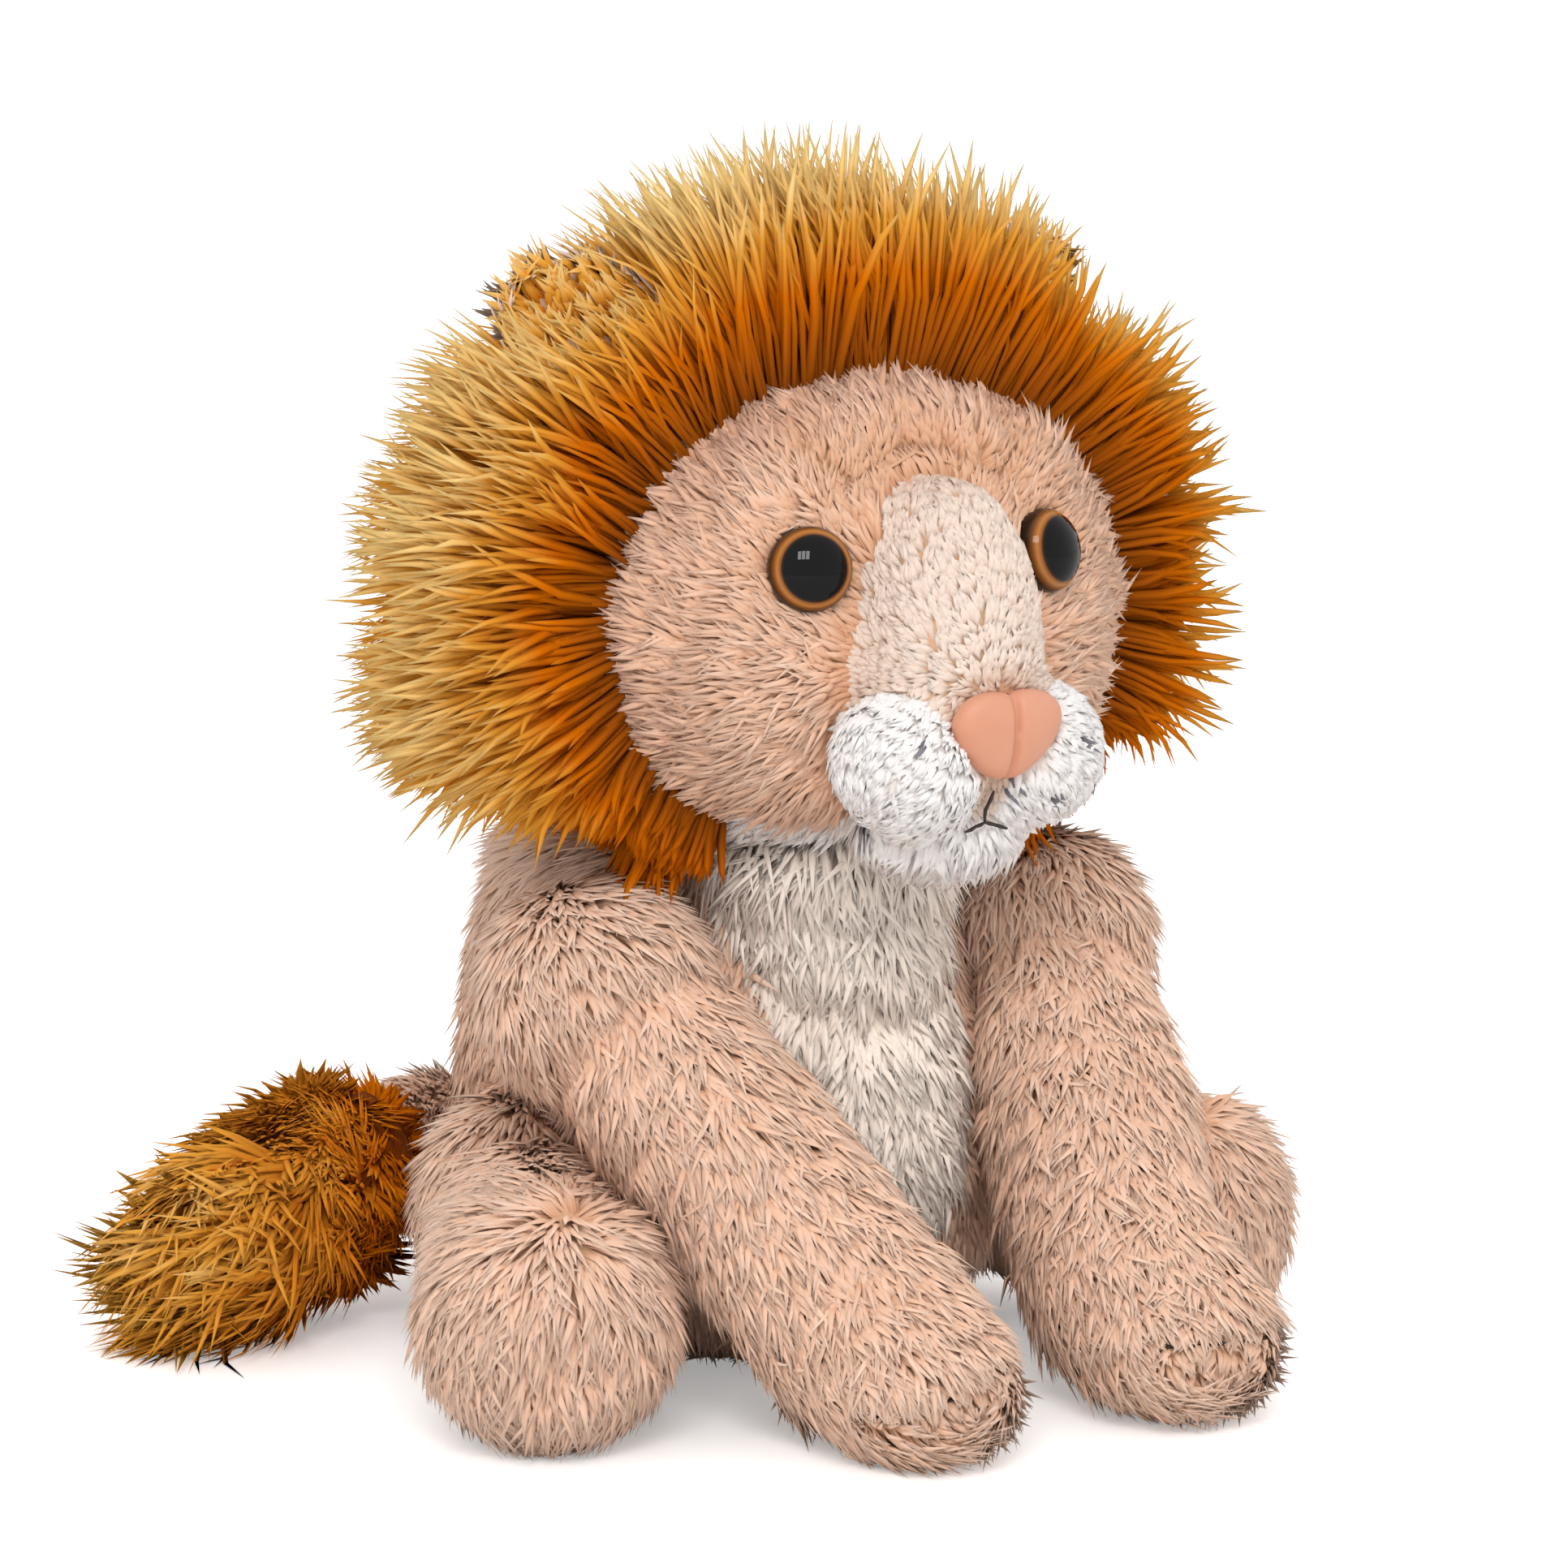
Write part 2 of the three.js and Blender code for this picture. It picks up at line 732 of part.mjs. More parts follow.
function earLayer(side, fromY, toY) {
  const halfLength = earLength / (1 + Math.cos(earBaseHalfAngle));
  const outline = new THREE.Shape();
  outline.absellipse(
    0,
    earLength - halfLength,
    earWidth / 2 - earEdgeRadius,
    halfLength - earEdgeRadius,
    -Math.PI / 2 + earBaseHalfAngle,
    (3 * Math.PI) / 2 - earBaseHalfAngle,
  );
  const layer = new THREE.ExtrudeGeometry(outline, {
    depth: toY - fromY - 2 * earEdgeRadius,
    bevelThickness: earEdgeRadius,
    bevelSize: earEdgeRadius,
    bevelSegments: 1,
    curveSegments: earSteps,
  });
  layer.rotateX(Math.PI / 2);
  layer.translate(0, toY - earEdgeRadius, 0);
  const points = layer.attributes.position;
  for (let i = 0; i < points.count; i++) {
    const share = points.getX(i) / (earWidth / 2);
    points.setY(i, points.getY(i) - earWidth * earCupShare * share * share);
  }
  layer.applyMatrix4(earMatrix(side));
  return mainBody(clearOf(solidOf(layer), headForm(-gap), earHinge(side)));
}

function earBack(side) {
  return earLayer(side, gap / 2, gap / 2 + earBackThickness);
}

function earLining(side) {
  return earLayer(side, -gap / 2 - earLiningThickness, -gap / 2);
}

// The pocket in the mane where an ear folds: a slice of a disc about the ear's base line, open at the top.
const earPocketHalfAngle = THREE.MathUtils.degToRad(31);
const earPocketSink = 8;

function earPocket(side) {
  const radius = earPocketSink + earLength + overrun + maneFrontLength;
  const slice = new THREE.Shape();
  slice.moveTo(0, -earPocketSink);
  slice.absarc(0, -earPocketSink, radius, Math.PI / 2 - earPocketHalfAngle, Math.PI / 2 + earPocketHalfAngle);
  slice.lineTo(0, -earPocketSink);
  const width = earWidth + 2 * earPocketClearance;
  const pocket = new THREE.ExtrudeGeometry(slice, {
    depth: width,
    bevelEnabled: false,
    curveSegments: pocketSteps,
  });
  pocket.translate(0, 0, -width / 2);
  pocket.applyMatrix4(new THREE.Matrix4().makeBasis(place(0, -1, 0), zAxis, place(-1, 0, 0)));
  pocket.applyMatrix4(earMatrix(side));
  return solidOf(pocket);
}

// Mane: a hood spun about the head's fore and aft axis, cut by the head, the ears' pockets and the face.
function maneForm() {
  const rootLength = -maneFrontLength * maneRootShare;
  const curve = new THREE.SplineCurve([
    new THREE.Vector2(maneRootRadius, rootLength),
    new THREE.Vector2(maneFrontRadius, -maneFrontLength),
    new THREE.Vector2(maneRadius, maneRadiusLength),
    new THREE.Vector2(maneBackRadius, maneBackLength),
    new THREE.Vector2(0, maneDomeLength),
  ]);
  const profile = curve.getPoints(formRings).map((point) => [point.x, point.y]);
  profile[profile.length - 1][0] = 0;
  const root = place(0, headY - maneForward, headZ);
  const hood = spunAlong([[0, rootLength], ...profile], root, place(0, 1, 0));
  return hood.scale([maneWidthShare, 1, 1]);
}

function mane() {
  const hem = spunAlong(
    [[0, 0], [reach, 0], [reach, neckZ + maneHemRise + maneHemSlope * reach], [0, neckZ + maneHemRise]],
    neck.clone().setZ(0),
    zAxis,
  );
  const spread = reach * Math.tan(faceOpeningHalfAngle);
  const wedge = new THREE.Shape();
  wedge.moveTo(0, headZ);
  wedge.lineTo(-spread, headZ - reach);
  wedge.lineTo(spread, headZ - reach);
  const faceOpening = prismAlongY(wedge, -reach, headY - maneForward + faceOpeningDepth);
  return mainBody(
    maneForm()
      .subtract(headForm(-gap))
      .subtract(hem)
      .subtract(ballAt(neck, neckRadius + neckClearance))
      .subtract(faceOpening)
      .subtract(earPocket(-1))
      .subtract(earPocket(1)),
  );
}

// A limb's cloth and filling, cut clear of the body through the whole of the limb's travel.
function limbPair(form, hinge, thickness) {
  const socket = ballAt(hinge.pivot, hinge.radius);
  const bodyRound = bodyForm(-gap).subtract(socket);
  const skin = form(0).subtract(form(thickness)).subtract(bodyForm(thickness)).subtract(belowFloor);
  const filling = form(thickness + gap).subtract(belowFloor);
  return [mainBody(clearOf(skin, bodyRound, hinge)), mainBody(clearOf(filling, bodyRound, hinge))];
}

// Front legs: a straight stuffed tube from the shoulder ball, turned forward at the ankle into a flat paw.
const elbowShare = 0.5;
const pawEndPower = 4;

function frontLegForm(side) {
  return (inset) => {
    const { pivot } = shoulderAt(side);
    const ankle = place((side * pawSpacing) / 2, ankleY, ankleZ);
    const tube = stuffedForm({
      spine: [
        pivot,
        pivot.clone().lerp(ankle, elbowShare),
        ankle,
        place((side * pawSpacing) / 2, pawToeY, pawToeZ),
      ],
      halfWidths: [shoulderRadius, foreshankRadius, foreshankRadius, pawHalfWidth],
      halfHeights: [shoulderRadius, foreshankRadius, foreshankRadius, pawHalfHeight],
      side: xAxis,
      endPower: pawEndPower,
      inset,
    });
    return tube.add(ballAt(pivot, shoulderRadius - inset));
  };
}

// Hind legs: a shorter tube from the hip ball, which swells to a round foot with its sole to the front.
const hindshankShare = 0.45;
const footEndPower = 3;

function hindLegForm(side) {
  return (inset) => {
    const { pivot } = hipAt(side);
    const [footX, footY] = side < 0 ? [-rightFootX, rightFootY] : [leftFootX, leftFootY];
    const foot = place(footX, footY, footRadius - flatDepth);
    const direction = foot.clone().sub(pivot).setZ(0).normalize();
    const tube = stuffedForm({
      spine: [
        pivot,
        pivot.clone().lerp(foot, hindshankShare),
        foot,
        foot.clone().addScaledVector(direction, footLength),
      ],
      halfWidths: [hipRadius, hindshankRadius, footRadius, footRadius],
      halfHeights: [hipRadius, hindshankRadius, footRadius, footRadius],
      side: xAxis,
      endPower: footEndPower,
      inset,
    });
    return tube.add(ballAt(pivot, hipRadius - inset));
  };
}

// Tail: a thin tube from its root ball, round the rump to the right, ending in a ball inside the tuft.
const tailEnd = place(-tailEndX, tailEndY, tailEndZ);
const tailEndPower = 8;
const tuftEndPower = 2.4;

function tailForm(inset) {
  const tube = stuffedForm({
    spine: [tailRoot.pivot, place(-tailBendX, tailBendY, tailBendZ), tailEnd],
    halfWidths: [tailRadius, tailRadius, tailRadius],
    halfHeights: [tailRadius, tailRadius, tailRadius],
    side: zAxis,
    endPower: tailEndPower,
    sides: thinSides,
    inset,
  });
  return tube.add(ballAt(tailRoot.pivot, tailRootRadius - inset)).add(ballAt(tailEnd, tailRadius - inset));
}

const tuftHinge = {
  pivot: tailEnd,
  axis: place(0, 0, -1),
  angles: [-tuftBend, 0, tuftBend],
};

function tailTuft() {
  const direction = place(-tuftLength, -tuftReachY, tuftTipZ - tailEndZ);
  const tip = tailEnd.clone().add(direction);
  const root = tailEnd.clone().addScaledVector(direction.clone().normalize(), -tuftSleeve);
  const tuft = stuffedForm({
    spine: [root, tip],
    halfWidths: [tuftHalfHeight, tuftHalfHeight],
    halfHeights: [tuftHalfWidth, tuftHalfWidth],
    side: zAxis,
    endPower: tuftEndPower,
  });
  const tail = tailForm(-tuftClearance).subtract(ballAt(tailEnd, tailRadius));
  const sleeve = tuft.subtract(ballAt(tailEnd, tailRadius + gap)).subtract(belowFloor);
  return mainBody(clearOf(sleeve, tail, tuftHinge));
}

// Assembly.
function meshOf(name, solid, material) {
  const mesh = new THREE.Mesh(geometryOf(solid), material);
  mesh.name = name;
  return mesh;
}

function groupOf(...meshes) {
  const group = new THREE.Group();
  group.add(...meshes);
  return group;
}

function sideName(side) {
  return side < 0 ? "right" : "left";
}

function bodyGroup() {
  return groupOf(
    meshOf("body_skin", bodySkin(), plushTan),
    meshOf("chest_bib", chestBib(), bibWhite),
    meshOf("body_filling", bodyFilling(), fibre),
    meshOf("pellet_bag", pelletBag(), pelletCloth),
  );
}

function headGroup() {
  const head = groupOf(
    meshOf("head_skin", headSkin(), plushTan),
    meshOf("snout_bridge", snoutBridge(), napPale),
    meshOf("chin_panel", chinPanel(), plushWhite),
    meshOf("nose", noseSolid(), noseVinyl),
    meshOf("nose_washer", noseWasher(), washerPlastic),
    meshOf("head_filling", headFilling(), fibre),
    meshOf("mane", mane(), longPile),
  );
  for (const side of [-1, 1]) {
    head.add(meshOf("muzzle_pad_" + sideName(side), muzzlePad(side), plushWhite));
    head.add(meshOf("eye_" + sideName(side), eyeLens(side), eyeAcrylic));
    head.add(meshOf("eye_washer_" + sideName(side), eyeWasher(side), washerPlastic));
    head.add(
      groupOf(
        meshOf("ear_back_" + sideName(side), earBack(side), plushTan),
        meshOf("ear_lining_" + sideName(side), earLining(side), longPile),
      ),
    );
  }
  return head;
}

function limbGroup(name, form, hinge, thickness) {
  const [skin, filling] = limbPair(form, hinge, thickness);
  return groupOf(meshOf(name + "_skin", skin, plushTan), meshOf(name + "_filling", filling, fibre));
}

const lion = new THREE.Group();
lion.add(bodyGroup());
lion.add(meshOf("neck_filling", neckFilling(), fibre));
lion.add(headGroup());
for (const side of [-1, 1]) {
  const ending = "_" + sideName(side);
  lion.add(limbGroup("front_leg" + ending, frontLegForm(side), shoulderAt(side), clothThickness));
  lion.add(limbGroup("hind_leg" + ending, hindLegForm(side), hipAt(side), clothThickness));
}
lion.add(limbGroup("tail", tailForm, tailRoot, tailClothThickness));
lion.add(meshOf("tail_tuft", tailTuft(), longPile));

export default lion;
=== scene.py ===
import math

import bmesh
import bpy
import numpy as np
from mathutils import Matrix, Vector
from mathutils.bvhtree import BVHTree
from mathutils.kdtree import KDTree


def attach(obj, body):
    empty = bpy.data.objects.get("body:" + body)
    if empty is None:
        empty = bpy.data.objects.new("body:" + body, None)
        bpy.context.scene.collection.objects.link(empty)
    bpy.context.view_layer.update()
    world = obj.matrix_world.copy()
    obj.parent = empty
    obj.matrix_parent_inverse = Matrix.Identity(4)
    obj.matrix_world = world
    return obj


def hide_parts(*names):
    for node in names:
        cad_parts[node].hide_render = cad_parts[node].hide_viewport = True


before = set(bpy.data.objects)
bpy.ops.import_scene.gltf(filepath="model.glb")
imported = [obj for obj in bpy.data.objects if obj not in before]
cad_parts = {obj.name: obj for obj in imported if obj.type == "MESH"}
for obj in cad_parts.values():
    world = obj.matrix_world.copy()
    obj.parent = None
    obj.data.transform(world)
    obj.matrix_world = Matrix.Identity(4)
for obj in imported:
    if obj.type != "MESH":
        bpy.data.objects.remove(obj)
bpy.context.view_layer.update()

# The view. The toy sits turned a little away, seen from its right side and slightly from above
# through a long lens, so its near front leg crosses the chest and its far eye is half hidden.
view_turn = math.radians(-33)
view_rise = math.radians(9)
view_distance = 0.95
looked_at = Vector((0, -0.012, 0.083))
lens_mm = 150
sensor_mm = 36
away = Vector(
    (
        math.sin(view_turn) * math.cos(view_rise),
        -math.cos(view_turn) * math.cos(view_rise),
        math.sin(view_rise),
    )
)
camera_data = bpy.data.cameras.new("camera")
camera_data.lens = lens_mm
camera_data.sensor_width = sensor_mm
camera = bpy.data.objects.new("camera", camera_data)
camera.location = looked_at + away * view_distance
camera.rotation_euler = (-away).to_track_quat("-Z", "Y").to_euler()
bpy.context.collection.objects.link(camera)
bpy.context.scene.camera = camera
bpy.context.scene.view_settings.view_transform = "Standard"


# The table and the light. A white studio table in an even white room, lit by one tall window of
# three panes in front and above, which draws the small bright panes that shine in the eyes.
def linear(code):
    """A colour written as six hex digits, turned into linear light."""
    parts = [int(code[i : i + 2], 16) / 255 for i in (1, 3, 5)]
    return tuple(p / 12.92 if p <= 0.04045 else ((p + 0.055) / 1.055) ** 2.4 for p in parts) + (1,)


def add(tree, kind, settings=None, links=None):
    """Adds one node, with its settings by name and its links from other nodes' outputs."""
    node = tree.nodes.new(kind)
    for key, value in (settings or {}).items():
        if isinstance(key, str) and hasattr(node, key):
            setattr(node, key, value)
        else:
            node.inputs[key].default_value = value
    for key, socket in (links or {}).items():
        tree.links.new(socket, node.inputs[key])
    return node


def blank_finish(name):
    """A new material with an empty node tree."""
    material = bpy.data.materials.new(name)
    material.use_nodes = True
    material.node_tree.nodes.clear()
    return material, material.node_tree


def keep(name, form, material):
    """Turns a bmesh or a mesh into a named object with its material, at the origin."""
    mesh = form
    if isinstance(form, bmesh.types.BMesh):
        mesh = bpy.data.meshes.new(name)
        form.to_mesh(mesh)
        form.free()
    mesh.name = name
    mesh.materials.clear()
    mesh.materials.append(material)
    thing = bpy.data.objects.new(name, mesh)
    bpy.context.collection.objects.link(thing)
    return thing


table_size = 14
table_white = "#fbfbfb"
table_lift = 0.33  # what the camera alone sees on top of the lit table, so that it meets the room
room_light = 0.88
room_seen = 1.0  # the room as the camera and the gloss see it
window_power = 9.2
window_width = 0.3
window_height = 0.8
window_gap = 0.38  # from the middle of one pane to the next
window_place = Vector((-1.15, -1.75, 1.75))
window_aim = Vector((0, -0.02, 0.08))

table_finish, tree = blank_finish("table_white")
paint = add(
    tree,
    "ShaderNodeBsdfPrincipled",
    {"Base Color": linear(table_white), "Roughness": 0.9, "Specular IOR Level": 0.0},
)
ray = add(tree, "ShaderNodeLightPath")
lift = add(tree, "ShaderNodeMath", {"operation": "MULTIPLY"}, {0: ray.outputs["Is Camera Ray"]})
lift.inputs[1].default_value = table_lift
shine = add(tree, "ShaderNodeEmission", {"Color": (1, 1, 1, 1)}, {"Strength": lift.outputs[0]})
both = add(tree, "ShaderNodeAddShader", None, {0: paint.outputs[0], 1: shine.outputs[0]})
add(tree, "ShaderNodeOutputMaterial", None, {"Surface": both.outputs[0]})
table = bmesh.new()
bmesh.ops.create_grid(table, x_segments=2, y_segments=2, size=table_size / 2)
keep("table", table, table_finish)

room = bpy.data.worlds.new("room")
bpy.context.scene.world = room
room.use_nodes = True
tree = room.node_tree
tree.nodes.clear()
ray = add(tree, "ShaderNodeLightPath")
seen = add(tree, "ShaderNodeMath", {"operation": "MAXIMUM"})
tree.links.new(ray.outputs["Is Camera Ray"], seen.inputs[0])
tree.links.new(ray.outputs["Is Glossy Ray"], seen.inputs[1])
seen_through = add(tree, "ShaderNodeMath", {"operation": "MAXIMUM"})
tree.links.new(seen.outputs[0], seen_through.inputs[0])
tree.links.new(ray.outputs["Is Transmission Ray"], seen_through.inputs[1])
ends = {"To Min": room_light, "To Max": room_seen}
strength = add(tree, "ShaderNodeMapRange", ends, {"Value": seen_through.outputs[0]})
glow = add(tree, "ShaderNodeBackground", {"Color": (1, 1, 1, 1)}, {"Strength": strength.outputs[0]})
add(tree, "ShaderNodeOutputWorld", None, {"Surface": glow.outputs[0]})

toward = (window_aim - window_place).normalized()
across = toward.cross(Vector((0, 0, 1))).normalized()
for pane in (-1, 0, 1):
    lamp_data = bpy.data.lights.new("window", "AREA")
    lamp_data.shape = "RECTANGLE"
    lamp_data.size = window_width
    lamp_data.size_y = window_height
    lamp_data.energy = window_power
    lamp = bpy.data.objects.new("window", lamp_data)
    lamp.location = window_place + across * window_gap * pane
    lamp.rotation_euler = toward.to_track_quat("-Z", "Y").to_euler()
    bpy.context.collection.objects.link(lamp)


# The cut and stuffed skins. Each part of the toy is knitted backing cloth, sewn inside out, turned
# and stuffed. Here is the cloth alone, shaped over the solid part and sunk a little below its
# surface, which leaves room for the pile that is set into it further on.
cloth_grain = 0.0012  # across one face
cloth_round = 14  # how often the corners are eased
cloth_sunk = 0.0014
cloth_lowest = 0.0006
merged = 0.00001  # corners closer than this are one


def read(mesh):
    """The places, outward directions and triangles of a mesh, as arrays."""
    mesh.calc_loop_triangles()
    places = np.empty(len(mesh.vertices) * 3)
    mesh.vertices.foreach_get("co", places)
    outs = np.empty(len(mesh.vertices) * 3)
    mesh.vertices.foreach_get("normal", outs)
    corners = np.empty(len(mesh.loop_triangles) * 3, dtype=np.int64)
    mesh.loop_triangles.foreach_get("vertices", corners)
    return places.reshape(-1, 3), outs.reshape(-1, 3), corners.reshape(-1, 3)


def unit(v):
    """Each row brought to length one."""
    return v / np.maximum(np.linalg.norm(v, axis=-1, keepdims=True), 1e-12)


def joined(nodes, plug=None):
    """One bmesh of copies of these nodes of the frame, with a round plug where an opening is closed."""
    form = bmesh.new()
    for node in nodes:
        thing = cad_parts[node]
        copy = thing.data.copy()
        copy.transform(thing.matrix_world)
        form.from_mesh(copy)
        bpy.data.meshes.remove(copy)
    bmesh.ops.remove_doubles(form, verts=form.verts, dist=merged)
    if plug:
        made = bmesh.ops.create_icosphere(form, subdivisions=3, radius=plug[1])
        bmesh.ops.translate(form, vec=plug[0], verts=made["verts"])
    return form


def eased(form, grain, rounds):
    """A closed form of even small faces round a bmesh, with its corners eased."""
    mesh = bpy.data.meshes.new("blank")
    form.to_mesh(mesh)
    form.free()
    blank = bpy.data.objects.new("blank", mesh)
    bpy.context.collection.objects.link(blank)
    remesh = blank.modifiers.new("even", "REMESH")
    remesh.mode = "VOXEL"
    remesh.voxel_size = grain
    smooth = blank.modifiers.new("ease", "SMOOTH")
    smooth.factor = 0.5
    smooth.iterations = rounds
    graph = bpy.context.evaluated_depsgraph_get()
    made = bpy.data.meshes.new_from_object(blank.evaluated_get(graph))
    bpy.data.objects.remove(blank)
    bpy.data.meshes.remove(mesh)
    return made


def form_of(mesh):
    """A search tree of a closed mesh."""
    places, _, corners = read(mesh)
    return BVHTree.FromPolygons([tuple(p) for p in places], [tuple(int(i) for i in c) for c in corners])


forms = {}


def cut_cloth(name, nodes, sunk=cloth_sunk, grain=cloth_grain, rounds=cloth_round, shaped=None, plug=None):
    """The backing cloth of a stuffed part: its nodes' form, eased, shaped and sunk below its pile."""
    mesh = eased(joined(nodes, plug), grain, rounds)
    forms[name] = form_of(mesh)
    places, outs, _ = read(mesh)
    places = places - outs * sunk
    if shaped:
        places = shaped(places, outs)
    places[:, 2] = np.maximum(places[:, 2], cloth_lowest)
    mesh.vertices.foreach_set("co", places.ravel())
    mesh.update()
    mesh.shade_smooth()
    return mesh


def depth_in(form, points):
    """How deep each point lies inside a closed form, less than nothing outside it."""
    depths = np.empty(len(points))
    for i, point in enumerate(points):
        spot, out, _, far = form.find_nearest(Vector(point))
        depths[i] = far if (Vector(point) - spot).dot(out) < 0 else -far
    return depths


sides = {"right": -1, "left": 1}
neck_plug_radius = 0.019
torso_plug = ((0, -0.02, 0.0605), neck_plug_radius)
head_plug = ((0, -0.02, 0.0985), neck_plug_radius)
torso_cloth = cut_cloth("torso", ["body_skin", "chest_bib", "body_filling", "pellet_bag"], plug=torso_plug)
leg_cloths = {}
for end in ("front", "hind"):
    for side in sides:
        leg = f"{end}_leg_{side}"
        leg_cloths[leg] = cut_cloth(leg, [leg + "_skin", leg + "_filling"])
tail_cloth = cut_cloth("tail", ["tail_skin", "tail_filling"], sunk=0.0012, grain=0.0009, rounds=8)

# The head. One soft egg of plush with a snout sewn in, cheeks that swell beside it, and a brow
# that folds over the top of the snout, where a line of stitches pulls the cloth in.
face_front = -0.03  # the crease is cut only in what lies before this
brow_creases = [  # across, up, and how deep
    (-0.0165, 0.1335, 0.0012),
    (-0.0125, 0.1295, 0.0022),
    (-0.006, 0.1325, 0.0026),
    (0.0, 0.1345, 0.0026),
    (0.006, 0.1325, 0.0026),
    (0.0125, 0.1295, 0.0022),
    (0.0165, 0.1335, 0.0012),
]
crease_reach = 0.0024
crease_pull = 0.3
head_swells = [  # the middle on the left side, how high, and how wide
    ((0.024, -0.047, 0.098), 0.0028, 0.013),  # cheek
    ((0.019, -0.046, 0.1335), 0.0046, 0.0085),  # brow
    ((0.0085, -0.0475, 0.1375), 0.0040, 0.0065),  # ridge beside the bridge
    ((0.0205, -0.0505, 0.1195), -0.0004, 0.0085),  # eye socket
]


def shape_head(places, outs):
    """Draws in the brow crease, and swells the cheeks and the brow above it."""
    front = places[:, 1] < face_front
    moved = places.copy()
    for a, b in zip(brow_creases[:-1], brow_creases[1:]):
        start, end = np.array(a[:2]), np.array(b[:2])
        flat = places[:, [0, 2]]
        share = np.clip(((flat - start) @ (end - start)) / ((end - start) @ (end - start)), 0, 1)
        gap = np.linalg.norm(flat - (start + share[:, None] * (end - start)), axis=1)
        deep = (a[2] + share * (b[2] - a[2])) * np.exp(-((gap / crease_reach) ** 2)) * front
        moved -= outs * (deep * crease_pull)[:, None]
    for hand in sides.values():
        swell = np.zeros(len(places))
        for (x, y, z), height, width in head_swells:
            middle = np.array([hand * x, y, z])
            swell += height * np.exp(-((np.linalg.norm(places - middle, axis=1) / width) ** 2))
        moved += outs * swell[:, None]
    return moved


head_cloth = cut_cloth(
    "head",
    ["head_skin", "head_filling", "snout_bridge", "muzzle_pad_right", "muzzle_pad_left", "chin_panel"]
    + ["nose_washer", "eye_washer_right", "eye_washer_left"],
    rounds=12,
    shaped=shape_head,
    plug=head_plug,
)


colour_a, colour_b, mixed_colour = 6, 7, 2  # the colour sockets of a mix node


def cloth_finish(name, shade, light):
    """Knitted backing cloth: fine ribs, a little uneven in tone, matt."""
    material, tree = blank_finish(name)
    where = add(tree, "ShaderNodeTexCoord")
    knit = add(tree, "ShaderNodeTexVoronoi", {"Scale": 1500.0}, {"Vector": where.outputs["Object"]})
    cloud = add(tree, "ShaderNodeTexNoise", {"Scale": 90.0}, {"Vector": where.outputs["Object"]})
    tone = add(tree, "ShaderNodeMix", {"data_type": "RGBA"}, {"Factor": cloud.outputs["Fac"]})
    tone.inputs[colour_a].default_value = linear(shade)
    tone.inputs[colour_b].default_value = linear(light)
    relief = {"Strength": 0.4, "Distance": 0.0003}
    bump = add(tree, "ShaderNodeBump", relief, {"Height": knit.outputs["Distance"]})
    paint = add(
        tree,
        "ShaderNodeBsdfPrincipled",
        {"Roughness": 0.95, "Specular IOR Level": 0.1, "Sheen Weight": 0.2},
        {"Base Color": tone.outputs[mixed_colour], "Normal": bump.outputs[0]},
    )
    add(tree, "ShaderNodeOutputMaterial", None, {"Surface": paint.outputs[0]})
    return material


tan_cloth = cloth_finish("tan_backing_cloth", "#cfa07c", "#dcb190")
white_cloth = cloth_finish("white_backing_cloth", "#e4d8cf", "#f2ebe5")


def nearest_of(points, candidates):
    """For each point, which of the given forms lies nearest."""
    gaps = np.empty((len(candidates), len(points)))
    for row, form in enumerate(candidates):
        gaps[row] = [form.find_nearest(Vector(point))[3] for point in points]
    return gaps.argmin(axis=0)


snout_white_from = -0.0615  # the cloth before this and below the next line is white
snout_white_top = 0.1025


def set_in_white(piece, tan_forms, white_forms):
    """Gives the white cloth to the faces that lie nearest the white panels."""
    piece.data.materials.append(white_cloth)
    spots = [face.center for face in piece.data.polygons]
    white = nearest_of(spots, tan_forms + white_forms) >= len(tan_forms)
    white |= np.array([spot.y < snout_white_from and spot.z < snout_white_top for spot in spots])
    piece.data.polygons.foreach_set("material_index", white.astype(np.int32))


def searched(node):
    """A search tree of one node of the frame."""
    return BVHTree.FromBMesh(joined([node]))


torso = keep("torso_cloth", torso_cloth, tan_cloth)
set_in_white(torso, [searched("body_skin")], [searched("chest_bib")])
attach(torso, "torso")
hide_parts("body_skin", "chest_bib")
head = keep("head_cloth", head_cloth, tan_cloth)
set_in_white(
    head,
    [searched("head_skin"), searched("snout_bridge")],
    [searched(node) for node in ("muzzle_pad_right", "muzzle_pad_left", "chin_panel")],
)
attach(head, "head")
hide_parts("head_skin", "snout_bridge", "muzzle_pad_right", "muzzle_pad_left", "chin_panel")
for leg, mesh in leg_cloths.items():
    piece = keep(leg + "_cloth", mesh, tan_cloth)
    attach(piece, leg)
    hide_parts(leg + "_skin")
tail = keep("tail_cloth", tail_cloth, tan_cloth)
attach(tail, "tail")
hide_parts("tail_skin")


# The plush pile. Polyester pile about 7 mm long, knitted into the cloth, brushed down and out, and
# lying in small locks whose tips draw together. Each lock is made as one closed tapering blade.
tries_per_root = 4
cell_steps = np.array([73856093, 19349663, 83492791])  # gives each small cube a number of its own


